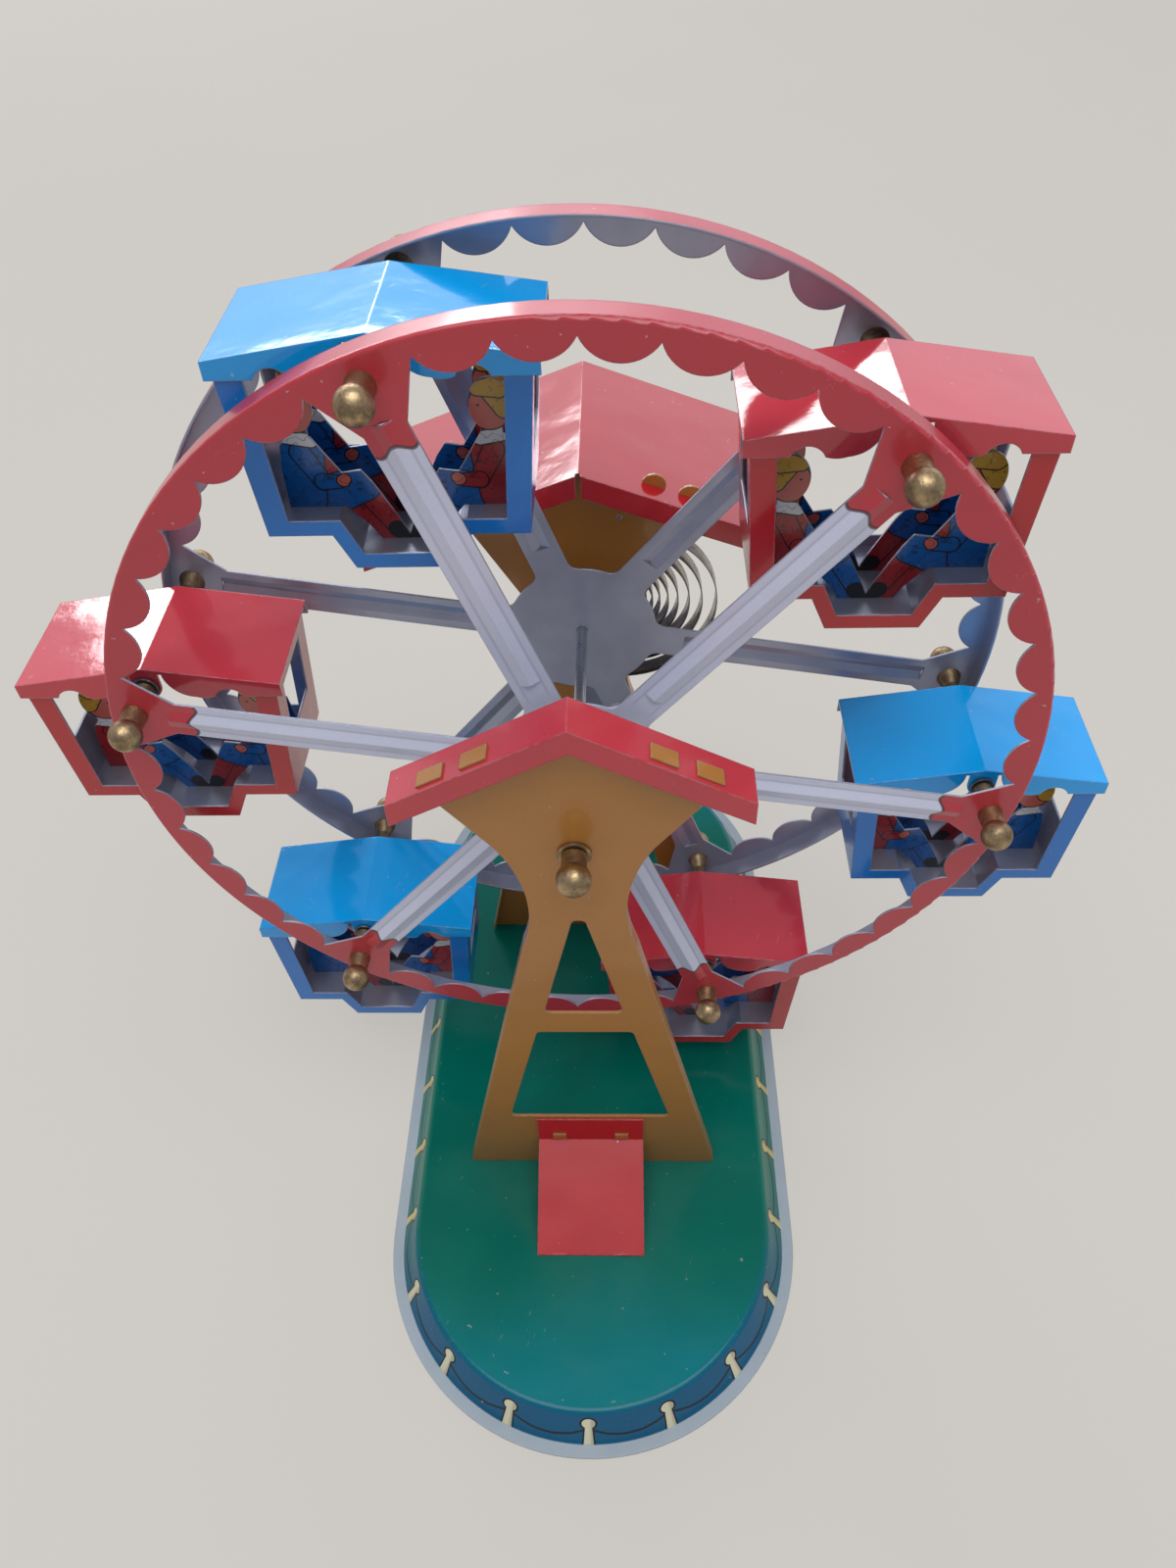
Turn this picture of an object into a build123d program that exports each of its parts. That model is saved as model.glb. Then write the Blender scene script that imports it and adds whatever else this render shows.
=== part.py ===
from build123d import *
import math
import os

# Wind-up tin ferris wheel. Millimetres. X to the right, Y away from the viewer, Z up.
# The origin is on the floor under the middle of the base, which is also under the
# middle of the two wheels.

# ---------------------------------------------------------------- driving dimensions
SHEET = 0.6               # pressed sheet of wheels, gondolas and roofs
PLATE = 0.8               # heavier sheet of towers and base
RIVET_FIT = 0.02          # clearance of riveted and seated pieces
RUN_FIT = 0.05            # radial clearance of running pins and shafts

AXLE_HEIGHT = 169.0
AXLE_RADIUS = 1.5

GONDOLAS = 6
FIRST_PIN_ANGLE = -10.0   # degrees above the horizontal, seen from the front

WHEEL_RADIUS = 112.0
WHEEL_SPACING = 53.2      # over the outer faces of the two discs
RIM_FLANGE = 6.5          # turned-in edge of the rim
RIM_EDGE_ROUND = 0.8      # between the disc's face and the turned edge
CUSP_RADIUS = 108.3       # scallop cusps of the rim
BUMP_RADIUS = 103.6       # innermost points of the scallops
BUMPS_PER_BAY = 6
BUMP_PITCH = 8.0          # degrees
HUB_RADIUS = 20.6
SPOKE_WIDTH = 9.4
NECK_RADIUS = 96.5        # where a spoke starts to widen into the rim
ROOT_FILLET = 3.0
RIB_WIDTH = 5.0
RIB_HEIGHT = 1.0
RIB_END_GAP = 8.0         # from the rib's ends to the hub edge and to the pin

PIN_CIRCLE = 106.0
PIN_BALL_RADIUS = 3.9
PIN_BALL_REACH = 7.2      # ball centre in front of the disc
PIN_NECK_RADIUS = 3.1
PIN_SHANK_RADIUS = 1.6
SPOOL_WHEEL_RADIUS = 3.4
SPOOL_WAIST_RADIUS = 1.9
SPOOL_END_RADIUS = 2.3
JOURNAL_RADIUS = 1.1
JOURNAL_END_GAP = 2.4     # journal past the lug
WASHER_RADIUS = 3.1
WASHER_THICKNESS = 0.6
WASHER_GAP = 0.3

GONDOLA_DEPTH = 32.0      # over the body's front and rear frames
GONDOLA_TOP_HALF = 31.2   # half width at pin height
SEAT_HALF = 28.3
SEAT_DROP = 39.2          # seat underside below the pin
STEP_TOP_HALF = 14.5
STEP_BOTTOM_HALF = 10.7
FOOTWELL_DROP = 47.6
POST_WIDTH = 5.2
LIP_HEIGHT = 3.6
SIDE_WINDOW_WIDTH = 19.0
SIDE_WINDOW_TOP = 6.0     # below the pin
SIDE_WINDOW_BOTTOM = 24.0
CANOPY_HALF = 32.6
CANOPY_RIDGE = 5.4        # above the pin
CANOPY_EAVE = 0.4
LUG_RADIUS = 3.6
SLOT_TOP = 3.7
SLOT_WIDTH = 1.0
VALANCE_DROP = 3.5        # lower edge of the valance below the pin
SCALLOP_CREST = 1.1
RIDER_GAP = 10.0          # between the two rider plates
RIDER_HEIGHT = 29.4       # seat to crown

TOWER_FOOT_HALF = 39.8
TOWER_NECK_HALF = 12.0
TOWER_NECK_DROP = 22.0    # neck below the axle
HEAD_CORNER_HALF = 34.5
HEAD_SHOULDER_HALF = 18.4
TRAPEZOID_TOP_HALF = 13.4
TRAPEZOID_BOTTOM_HALF = 24.6
TRAPEZOID_TOP = 91.5
TRAPEZOID_BOTTOM = 42.3
TRIANGLE_BASE_HALF = 10.9
TRIANGLE_BASE = 101.2
TRIANGLE_APEX = 143.0
TRIANGLE_APEX_HALF = 1.6
OPENING_FILLET = 1.5
EDGE_FLANGE = 4.0         # turned edge of the tower legs
FRONT_TOWER_Y = -54.3     # front face of the front tower
REAR_TOWER_Y = 42.0       # front face of the rear tower
BACK_PLATE_Y = 92.0
BACK_COLUMN_HALF = 13.0
BACK_FOOT_HALF = 30.0
BACK_SPREAD_HEIGHT = 58.0
TOWER_TAB_WIDTH = 8.0
TOWER_TAB_LENGTH = 3.0
TAB_FIT = 0.1

RIDGE_HEIGHT = AXLE_HEIGHT + 43.0
VALANCE_HEIGHT = 6.5
FRONT_ROOF_HALF = 39.8
FRONT_ROOF_SLOPE = 28.5
FRONT_ROOF_FRONT = -59.3
FRONT_ROOF_BACK = -48.8
REAR_ROOF_HALF = 60.0
REAR_ROOF_SLOPE = 20.5
REAR_ROOF_FRONT = 35.2
REAR_ROOF_BACK = 98.0
ROOF_TAB_STATIONS = (19.7, 29.5)
ROOF_TAB_WIDTH = 6.6
ROOF_TAB_FLAP = 4.0
LEAF_TAB_HEIGHT = 3.2

BASE_HALF_WIDTH = 64.4
BASE_STRAIGHT = 148.0     # distance between the centres of the two round ends
BASE_HEIGHT = 11.5
FOOT_FLANGE = 3.4
SKIRT_RUN = 5.6           # horizontal run of the sloping skirt
BASE_EDGE_ROUND = 2.0     # between the base's top and its skirt

RAMP_HALF_WIDTH = 16.6
RAMP_TOP = 41.0
RAMP_FOLD = 28.0
RAMP_REACH = 31.0         # from the tower to the ramp's lower end
RAMP_TAB_X = 9.8
RAMP_TAB_WIDTH = 4.2

GEAR_MODULE = 0.5
PINION_TEETH = 10
GREAT_GEAR_TEETH = 32
ARBOR_ANGLE = -44.2       # of the arbor seen from the axle
ARBOR_RADIUS = 2.5
ARBOR_PIVOT_RADIUS = 1.3
GREAT_GEAR_WIDTH = 1.5
GEAR_GAP = 0.3            # between neighbouring wheels of the motor
RATCHET_TEETH = 12
RATCHET_TIP = 4.2
RATCHET_ROOT = 3.5
RATCHET_WIDTH = 1.0
RATCHET_ANGLE = 3.5
CLICK_STUD_RADIUS = 0.6
CLICK_STUD_CIRCLE = 6.4   # about the arbor
CLICK_STUD_ANGLE = 75.0
CLICK_BOSS_RADIUS = 1.3
CLICK_LIFT = 0.15         # beak clear of the ratchet's tips
MOTOR_PLATE_Y = 55.5
MOTOR_PLATE_HALF = 12.8
MOTOR_PLATE_TOP = 31.0    # above the axle
MOTOR_PLATE_BOTTOM = 38.0
PILLAR_RADIUS = 1.5
UPPER_PILLAR_X = 10.5
UPPER_PILLAR_Z = 26.0
LOWER_PILLAR_X = -9.0
LOWER_PILLAR_Z = -30.0

SPRING_STRIP = 0.3
SPRING_WIDTH = 6.0
SPRING_INNER = 3.5        # first crossing on the right, from the arbor
SPRING_TURNS = 13
SPRING_REACH = 38.9       # right extreme, from the axle
SPRING_FIRST_PITCH = 0.95 # right-hand pitch next to the arbor
SPRING_LEFT_PITCH = 1.04
SPRING_TAIL_RADIUS = 28.0 # last quarter turn, down to the anchor pillar

BUSH_RADIUS = 3.0
BUSH_LIP = 1.0
BUSH_RIVET = 0.4          # bush past the far side of its plate
COLLAR_RADIUS = 5.0
COLLAR_LENGTH = 4.0
END_BALL_RADIUS = 4.1
END_BALL_REACH = 8.0      # ball centre in front of the front tower
END_NECK_RADIUS = 3.0

CRANK_Y = 95.5
CRANK_THROW = 22.0
CRANK_WIDTH = 8.0
CRANK_THICKNESS = 1.5
CRANK_BOSS_RADIUS = 4.5
KNOB_RADIUS = 4.5
KNOB_LENGTH = 13.0
KNOB_PIN_RADIUS = 1.5
KNOB_GAP = 0.4

# ---------------------------------------------------------------- derived places
DISC_FACE = WHEEL_SPACING / 2
BODY_FACE = GONDOLA_DEPTH / 2
LUG_FACE = BODY_FACE + RIVET_FIT + SHEET
WASHER_FACE = LUG_FACE + WASHER_GAP
SPOOL_END = WASHER_FACE + WASHER_THICKNESS + WASHER_GAP
ARBOR_DISTANCE = GEAR_MODULE * (PINION_TEETH + GREAT_GEAR_TEETH) / 2
ARBOR_X = ARBOR_DISTANCE * math.cos(math.radians(ARBOR_ANGLE))
ARBOR_Z = ARBOR_DISTANCE * math.sin(math.radians(ARBOR_ANGLE))
PINION_START = REAR_TOWER_Y + PLATE + BUSH_RIVET + GEAR_GAP
GREAT_GEAR_Y = PINION_START + GEAR_GAP
RATCHET_Y = GREAT_GEAR_Y + GREAT_GEAR_WIDTH + GEAR_GAP
STUD_HEAD_Y = RATCHET_Y + RATCHET_WIDTH + 2 * RIVET_FIT
SPRING_FRONT = STUD_HEAD_Y + 0.5 + GEAR_GAP
FRONT_ROOF_RISE = math.tan(math.radians(FRONT_ROOF_SLOPE))
REAR_ROOF_RISE = math.tan(math.radians(REAR_ROOF_SLOPE))


# ---------------------------------------------------------------- general helpers
def upright(outline, front, thickness):
    """Plate from an (x, z) outline, with its front face at y = front."""
    plane = Plane(origin=(0, front + thickness, 0), x_dir=(1, 0, 0), z_dir=(0, -1, 0))
    return extrude(plane * outline, thickness)


def turned(profile):
    """Solid of revolution about Y from (radius, y) points."""
    return revolve(make_face(Polyline(*profile, close=True)), Axis.Y, 360)


def rod(radius, start, end):
    return turned([(0, start), (radius, start), (radius, end), (0, end)])


def ring(radius, bore, start, end):
    return turned([(bore, start), (radius, start), (radius, end), (bore, end)])


def polar(radius, angle):
    return (radius * math.cos(math.radians(angle)), radius * math.sin(math.radians(angle)))


def polygon(points):
    return make_face(Polyline(*points, close=True))


def mirrored_polygon(half):
    """Closed outline from its right half, listed from bottom to top."""
    return polygon(list(half) + [(-x, z) for x, z in reversed(half) if x > 0])


def on_axle(shape, angle=0.0):
    """Place a shape made about the origin on the wheel axle, turned by an angle."""
    return Pos(0, 0, AXLE_HEIGHT) * Rot(0, -angle, 0) * shape


def on_arbor(shape, angle=0.0):
    return Pos(ARBOR_X, 0, AXLE_HEIGHT + ARBOR_Z) * Rot(0, -angle, 0) * shape


def pin_angle(index):
    return FIRST_PIN_ANGLE + index * 360 / GONDOLAS


def on_pin(shape, index):
    """Place a shape made about the origin at a gondola pin, without turning it."""
    x, z = polar(PIN_CIRCLE, pin_angle(index))
    return Pos(x, 0, AXLE_HEIGHT + z) * shape


# ---------------------------------------------------------------- the two wheels
def bay_window():
    """Opening between two spokes, centred on the +X direction."""
    half_bay = 180 / GONDOLAS
    half_spoke = SPOKE_WIDTH / 2
    root_angle = half_bay - math.degrees(math.asin(half_spoke / HUB_RADIUS))
    neck_angle = half_bay - math.degrees(math.atan2(half_spoke, NECK_RADIUS))
    neck = math.hypot(half_spoke, NECK_RADIUS)
    first_cusp = BUMPS_PER_BAY * BUMP_PITCH / 2
    edges = [
        ThreePointArc(polar(HUB_RADIUS, -root_angle), (HUB_RADIUS, 0), polar(HUB_RADIUS, root_angle)),
        Line(polar(HUB_RADIUS, root_angle), polar(neck, neck_angle)),
        Line(polar(neck, neck_angle), polar(CUSP_RADIUS, first_cusp)),
        Line(polar(CUSP_RADIUS, -first_cusp), polar(neck, -neck_angle)),
        Line(polar(neck, -neck_angle), polar(HUB_RADIUS, -root_angle)),
    ]
    for bump in range(BUMPS_PER_BAY):
        start = first_cusp - bump * BUMP_PITCH
        edges.append(ThreePointArc(
            polar(CUSP_RADIUS, start),
            polar(BUMP_RADIUS, start - BUMP_PITCH / 2),
            polar(CUSP_RADIUS, start - BUMP_PITCH),
        ))
    window = make_face(edges)
    roots = [v for v in window.vertices() if math.hypot(v.X, v.Y) < HUB_RADIUS + 1]
    return fillet(roots, ROOT_FILLET)


def rib_section(offset):
    """Triangular section of a spoke's pressed rib, in the (y, z) plane."""
    half = RIB_WIDTH / 2
    return polygon([(offset, -half), (offset - RIB_HEIGHT, 0), (offset, half)])


def wheel_disc():
    """Pressed disc about the origin: outer face at y = 0, turned edge towards +Y."""
    outline = Circle(WHEEL_RADIUS) - Circle(AXLE_RADIUS + RIVET_FIT)
    window = bay_window()
    for index in range(GONDOLAS):
        outline -= Rot(0, 0, pin_angle(index + 0.5)) * window
        outline -= Pos(*polar(PIN_CIRCLE, pin_angle(index))) * Circle(PIN_SHANK_RADIUS + RIVET_FIT)
    disc = upright(outline, 0, SHEET) + ring(WHEEL_RADIUS, WHEEL_RADIUS - SHEET, 0, RIM_FLANGE)
    rim = [edge for edge in disc.edges().filter_by(GeomType.CIRCLE) if abs(edge.radius - WHEEL_RADIUS) < 0.01]
    disc = fillet(min(rim, key=lambda edge: edge.center().Y), RIM_EDGE_ROUND)
    start = HUB_RADIUS + RIB_END_GAP
    length = PIN_CIRCLE - RIB_END_GAP - start
    rib_plane = Plane(origin=(start, 0, 0), x_dir=(0, 1, 0), z_dir=(1, 0, 0))
    ridge = extrude(rib_plane * rib_section(0), length)
    groove = extrude(rib_plane * rib_section(SHEET), length)
    for index in range(GONDOLAS):
        disc += Rot(0, -pin_angle(index), 0) * ridge
    for index in range(GONDOLAS):
        disc -= Rot(0, -pin_angle(index), 0) * groove
    return disc


def front_wheel():
    return on_axle(Pos(0, -DISC_FACE, 0) * wheel_disc())


def gondola_pin():
    """Front pin about the origin: ball head, spool inside the disc, journal through the lug."""
    inner = -DISC_FACE + SHEET
    waist = (inner - SPOOL_END) / 2
    tip = -BODY_FACE + JOURNAL_END_GAP
    shank = turned([
        (0, -DISC_FACE - PIN_BALL_REACH),
        (PIN_NECK_RADIUS * 0.8, -DISC_FACE - PIN_BALL_REACH),
        (PIN_NECK_RADIUS, -DISC_FACE),
        (PIN_SHANK_RADIUS, -DISC_FACE),
        (PIN_SHANK_RADIUS, inner),
        (SPOOL_WHEEL_RADIUS, inner),
        (SPOOL_WAIST_RADIUS, waist),
        (SPOOL_END_RADIUS, -SPOOL_END),
        (JOURNAL_RADIUS, -SPOOL_END),
        (JOURNAL_RADIUS, tip),
        (0, tip),
    ])
    return shank + Pos(0, -DISC_FACE - PIN_BALL_REACH, 0) * Sphere(PIN_BALL_RADIUS)


def gondola_washers():
    washer = ring(WASHER_RADIUS, JOURNAL_RADIUS + RUN_FIT, -WASHER_FACE - WASHER_THICKNESS, -WASHER_FACE)
    return [washer, mirror(washer, about=Plane.XZ)]


def wheel_axle():
    start = FRONT_TOWER_Y - END_BALL_REACH
    return on_axle(rod(AXLE_RADIUS, start, GREAT_GEAR_Y + GREAT_GEAR_WIDTH))


def axle_knob():
    """Brass ball on the front end of the axle, in front of the tower's bush."""
    centre = FRONT_TOWER_Y - END_BALL_REACH
    collar_end = FRONT_TOWER_Y - BUSH_LIP - WASHER_GAP
    knob = rod(END_NECK_RADIUS, centre, collar_end) + Pos(0, centre, 0) * Sphere(END_BALL_RADIUS)
    return on_axle(knob - rod(AXLE_RADIUS + RIVET_FIT, centre, collar_end))


def hub_collars():
    """Two brass collars that lock the discs to the axle, on their outer faces."""
    front = ring(COLLAR_RADIUS, AXLE_RADIUS + RIVET_FIT, -DISC_FACE - COLLAR_LENGTH, -DISC_FACE - RIVET_FIT)
    return [on_axle(front), on_axle(mirror(front, about=Plane.XZ))]


# ---------------------------------------------------------------- gondolas
def tub_outline():
    wall_slope = (GONDOLA_TOP_HALF - SEAT_HALF) / SEAT_DROP
    above = CANOPY_RIDGE + SHEET
    return mirrored_polygon([
        (STEP_BOTTOM_HALF, -FOOTWELL_DROP),
        (STEP_TOP_HALF, -SEAT_DROP),
        (SEAT_HALF, -SEAT_DROP),
        (GONDOLA_TOP_HALF + wall_slope * above, above),
    ])


def canopy_height(x):
    """Top of the canopy above the pin."""
    return CANOPY_RIDGE - (CANOPY_RIDGE - CANOPY_EAVE) * abs(x) / CANOPY_HALF


def under_canopy():
    """Region below the canopy sheet, as an (x, z) outline."""
    lowered = SHEET + RIVET_FIT
    return mirrored_polygon([
        (CANOPY_HALF, -2 * FOOTWELL_DROP),
        (CANOPY_HALF, canopy_height(CANOPY_HALF) - lowered),
        (0, canopy_height(0) - lowered),
    ])


def gondola_body():
    """Bent tub with a turned frame at the front and the rear, about the pin."""
    outer = tub_outline()
    inner = offset(outer, -SHEET, kind=Kind.INTERSECTION)
    above = CANOPY_RIDGE + 1
    between_posts = mirrored_polygon([
        (SEAT_HALF - POST_WIDTH, -SEAT_DROP - FOOTWELL_DROP),
        (SEAT_HALF - POST_WIDTH, -SEAT_DROP),
        (GONDOLA_TOP_HALF - POST_WIDTH, above),
    ])
    opening = offset(outer, -LIP_HEIGHT, kind=Kind.INTERSECTION) & between_posts
    opening += Pos(0, above) * Rectangle(2 * (GONDOLA_TOP_HALF - POST_WIDTH), 2 * above)
    strip = upright((outer - inner) & under_canopy(), -BODY_FACE, GONDOLA_DEPTH)
    frame = upright((outer - opening) & under_canopy(), -BODY_FACE, SHEET)
    window_height = SIDE_WINDOW_BOTTOM - SIDE_WINDOW_TOP
    side_windows = Pos(0, 0, -SIDE_WINDOW_TOP - window_height / 2) * Box(
        3 * SEAT_HALF, SIDE_WINDOW_WIDTH, window_height)
    return strip - side_windows + frame + mirror(frame, about=Plane.XZ)


def valance_outline():
    """Front of the canopy, with a lug between two slots and a scalloped lower edge."""
    slot = LUG_RADIUS + SLOT_WIDTH
    post = SEAT_HALF - POST_WIDTH
    crest = post - LUG_RADIUS
    dip = crest - LUG_RADIUS
    trough = (dip + slot) / 2 + 1
    lower = -VALANCE_DROP
    half = [
        Line((LUG_RADIUS, 0), (LUG_RADIUS, SLOT_TOP)),
        Line((LUG_RADIUS, SLOT_TOP), (slot, SLOT_TOP)),
        ThreePointArc((slot, SLOT_TOP), (slot + 1.3, -0.4), (trough, lower)),
        ThreePointArc((trough, lower), ((trough + dip) / 2, lower - 0.4), (dip, lower)),
        ThreePointArc((dip, lower), (crest, -SCALLOP_CREST), (post, lower)),
        Line((post, lower), (CANOPY_HALF, lower)),
        Line((CANOPY_HALF, lower), (CANOPY_HALF, CANOPY_EAVE)),
        Line((CANOPY_HALF, CANOPY_EAVE), (0, CANOPY_RIDGE)),
    ]
    other = [mirror(edge, about=Plane.YZ) for edge in half]
    lug = ThreePointArc((-LUG_RADIUS, 0), (0, -LUG_RADIUS), (LUG_RADIUS, 0))
    return make_face(half + other + [lug]) - Circle(JOURNAL_RADIUS + RUN_FIT)


def gondola_roof():
    """Folded canopy with its two valances, about the pin."""
    top = polygon([
        (-CANOPY_HALF, CANOPY_EAVE), (0, CANOPY_RIDGE), (CANOPY_HALF, CANOPY_EAVE),
        (CANOPY_HALF, CANOPY_EAVE - SHEET), (0, CANOPY_RIDGE - SHEET), (-CANOPY_HALF, CANOPY_EAVE - SHEET),
    ])
    sheet = upright(top, -LUG_FACE, 2 * LUG_FACE)
    valance = upright(valance_outline(), -LUG_FACE, SHEET)
    return sheet + valance + mirror(valance, about=Plane.XZ)


def rider_outline():
    """Two seated children who face each other, cut from one plate."""
    seat = -SEAT_DROP + SHEET + RIVET_FIT
    floor = -FOOTWELL_DROP + SHEET + RIVET_FIT

    def body(x, z):
        return (x * RIDER_HEIGHT, seat + z * RIDER_HEIGHT)

    figure = polygon([
        (-0.5, floor), (0.6 * STEP_BOTTOM_HALF, floor), body(0.29, -0.17), (STEP_TOP_HALF - 1.4, seat),
        body(0.87, 0), body(0.87, 0.31), body(0.84, 0.51), body(0.78, 0.58), body(0.61, 0.57),
        body(0.52, 0.42), body(0.43, 0.28), body(0.29, 0.3), body(0.22, 0.2), body(0.05, -0.13),
    ])
    neck = Pos(*body(0.7, 0.58)) * Rectangle(0.16 * RIDER_HEIGHT, 0.17 * RIDER_HEIGHT)
    head = Pos(*body(0.71, 0.8)) * Ellipse(0.16 * RIDER_HEIGHT, 0.2 * RIDER_HEIGHT)
    one = figure + neck + head
    return one + mirror(one, about=Plane.YZ)


def gondola_riders():
    plate = upright(rider_outline(), -RIDER_GAP / 2 - SHEET, SHEET)
    return [plate, mirror(plate, about=Plane.XZ)]


# ---------------------------------------------------------------- towers
def roof_height(x, slope_rise):
    """Top surface of a roof at x."""
    return RIDGE_HEIGHT - slope_rise * abs(x)


def head_top(slope_rise, half):
    """Upper edge of a tower plate, seated under a roof sheet."""
    lowered = SHEET / math.cos(math.atan(slope_rise)) + RIVET_FIT
    return [(half, roof_height(half, slope_rise) - lowered), (0, RIDGE_HEIGHT - lowered)]


def tower_outline(slope_rise):
    """A-frame with a narrow neck and a gabled head, as an (x, z) outline."""
    neck = AXLE_HEIGHT - TOWER_NECK_DROP
    leg_top = neck - 15
    leg_run = (TOWER_FOOT_HALF - TOWER_NECK_HALF) / (neck - BASE_HEIGHT)
    leg_half = TOWER_NECK_HALF + leg_run * 15 - 0.6
    shoulder = AXLE_HEIGHT + 1.5
    (corner_x, corner_z), (apex_x, apex_z) = head_top(slope_rise, HEAD_CORNER_HALF)
    half = [
        Line((TOWER_FOOT_HALF, BASE_HEIGHT), (leg_half, leg_top)),
        ThreePointArc((leg_half, leg_top), (TOWER_NECK_HALF, neck + 2), (HEAD_SHOULDER_HALF, shoulder)),
        Line((HEAD_SHOULDER_HALF, shoulder), (corner_x, corner_z)),
        Line((corner_x, corner_z), (apex_x, apex_z)),
    ]
    other = [mirror(edge, about=Plane.YZ) for edge in half]
    foot = Line((-TOWER_FOOT_HALF, BASE_HEIGHT), (TOWER_FOOT_HALF, BASE_HEIGHT))
    return make_face(half + other + [foot])


def tower_openings():
    trapezoid = mirrored_polygon([
        (TRAPEZOID_BOTTOM_HALF, TRAPEZOID_BOTTOM), (TRAPEZOID_TOP_HALF, TRAPEZOID_TOP)])
    triangle = mirrored_polygon([
        (TRIANGLE_BASE_HALF, TRIANGLE_BASE), (TRIANGLE_APEX_HALF, TRIANGLE_APEX)])
    return fillet(trapezoid.vertices(), OPENING_FILLET) + fillet(triangle.vertices(), OPENING_FILLET)


def foot_tabs(front, stations):
    """Tabs that pass down through the base's top, as one set of boxes."""
    return [
        Pos(x, front + PLATE / 2, BASE_HEIGHT - TOWER_TAB_LENGTH / 2)
        * Box(TOWER_TAB_WIDTH, PLATE, TOWER_TAB_LENGTH)
        for x in stations
    ]


def tower_tab_stations(half):
    first = half - TOWER_TAB_WIDTH
    return (-first, first)


def roof_seat(x, y, slope):
    """Frame on a roof's top surface: local Z is square to the sheet."""
    rise = math.tan(math.radians(slope))
    side = math.copysign(1, x)
    return Pos(x, y, roof_height(x, rise)) * Rot(0, side * slope, 0)


def roof_tab_stem(height, clearance=0.0):
    """Stem of a roof tab in its roof_seat frame, from under the sheet to a height above it."""
    depth = 2 * SHEET
    return Pos(0, 0, (height - depth) / 2) * Box(
        ROOF_TAB_WIDTH + clearance, PLATE + clearance, height + depth)


def roof_tab_seats(front, slope):
    return [
        roof_seat(side * station, front + PLATE / 2, slope)
        for station in ROOF_TAB_STATIONS for side in (-1, 1)
    ]


def folded_tabs(front, slope, direction):
    """Tabs bent flat on the roof, towards -Y or +Y."""
    flap = Pos(0, direction * ROOF_TAB_FLAP / 2, SHEET / 2 + RIVET_FIT) * Box(
        ROOF_TAB_WIDTH, ROOF_TAB_FLAP, SHEET)
    tab = roof_tab_stem(SHEET + RIVET_FIT) + flap
    return [seat * tab for seat in roof_tab_seats(front, slope)]


def leaf_tabs(front, slope):
    """Tabs that stand proud of the roof and are rounded like a leaf."""
    stem = roof_tab_stem(LEAF_TAB_HEIGHT)
    rounded = upright(Pos(0, 0) * Ellipse(ROOF_TAB_WIDTH / 2, LEAF_TAB_HEIGHT), -PLATE, 2 * PLATE)
    low = Pos(0, 0, -SHEET) * Box(2 * ROOF_TAB_WIDTH, 2 * PLATE, 2 * SHEET)
    return [seat * (stem & (rounded + low)) for seat in roof_tab_seats(front, slope)]


def leg_flange(outline, front, depth):
    """Turned edge along the legs and neck, behind or in front of the plate."""
    edge = outline - offset(outline, -SHEET)
    height = AXLE_HEIGHT - BASE_HEIGHT - 4
    legs = Pos(0, BASE_HEIGHT + 1 + height / 2) * Rectangle(3 * TOWER_FOOT_HALF, height)
    return upright(edge & legs, front, depth)


def front_tower():
    outline = tower_outline(FRONT_ROOF_RISE)
    holes = tower_openings() + Pos(0, AXLE_HEIGHT) * Circle(BUSH_RADIUS)
    plate = upright(outline - holes, FRONT_TOWER_Y, PLATE)
    plate += leg_flange(outline, FRONT_TOWER_Y, EDGE_FLANGE)
    for tab in foot_tabs(FRONT_TOWER_Y, tower_tab_stations(TOWER_FOOT_HALF)):
        plate += tab
    for tab in folded_tabs(FRONT_TOWER_Y, FRONT_ROOF_SLOPE, -1):
        plate += tab
    for tab in ramp_tabs():
        plate += tab
    return plate


def rear_tower():
    outline = tower_outline(REAR_ROOF_RISE)
    axle_hole = Pos(0, AXLE_HEIGHT) * Circle(BUSH_RADIUS)
    arbor_hole = Pos(ARBOR_X, AXLE_HEIGHT + ARBOR_Z) * Circle(ARBOR_PIVOT_RADIUS + RUN_FIT)
    holes = tower_openings() + axle_hole + arbor_hole
    for x, z in pillar_places():
        holes += Pos(x, AXLE_HEIGHT + z) * Circle(PILLAR_RADIUS / 2 + RIVET_FIT)
    plate = upright(outline - holes, REAR_TOWER_Y, PLATE)
    plate += leg_flange(outline, REAR_TOWER_Y - EDGE_FLANGE + PLATE, EDGE_FLANGE)
    for tab in foot_tabs(REAR_TOWER_Y, tower_tab_stations(TOWER_FOOT_HALF)):
        plate += tab
    for tab in leaf_tabs(REAR_TOWER_Y, REAR_ROOF_SLOPE):
        plate += tab
    return plate


def tower_back():
    """Slim back plate under the deep roof, with the winder's bearing."""
    (corner_x, corner_z), (_, apex_z) = head_top(REAR_ROOF_RISE, HEAD_CORNER_HALF)
    outline = mirrored_polygon([
        (BACK_FOOT_HALF, BASE_HEIGHT),
        (BACK_COLUMN_HALF, BACK_SPREAD_HEIGHT),
        (BACK_COLUMN_HALF, AXLE_HEIGHT - TOWER_NECK_DROP),
        (corner_x, corner_z),
        (0, apex_z),
    ])
    outline -= Pos(ARBOR_X, AXLE_HEIGHT + ARBOR_Z) * Circle(BUSH_RADIUS)
    plate = upright(outline, BACK_PLATE_Y, PLATE)
    for tab in foot_tabs(BACK_PLATE_Y, tower_tab_stations(BACK_FOOT_HALF)):
        plate += tab
    return plate


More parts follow.
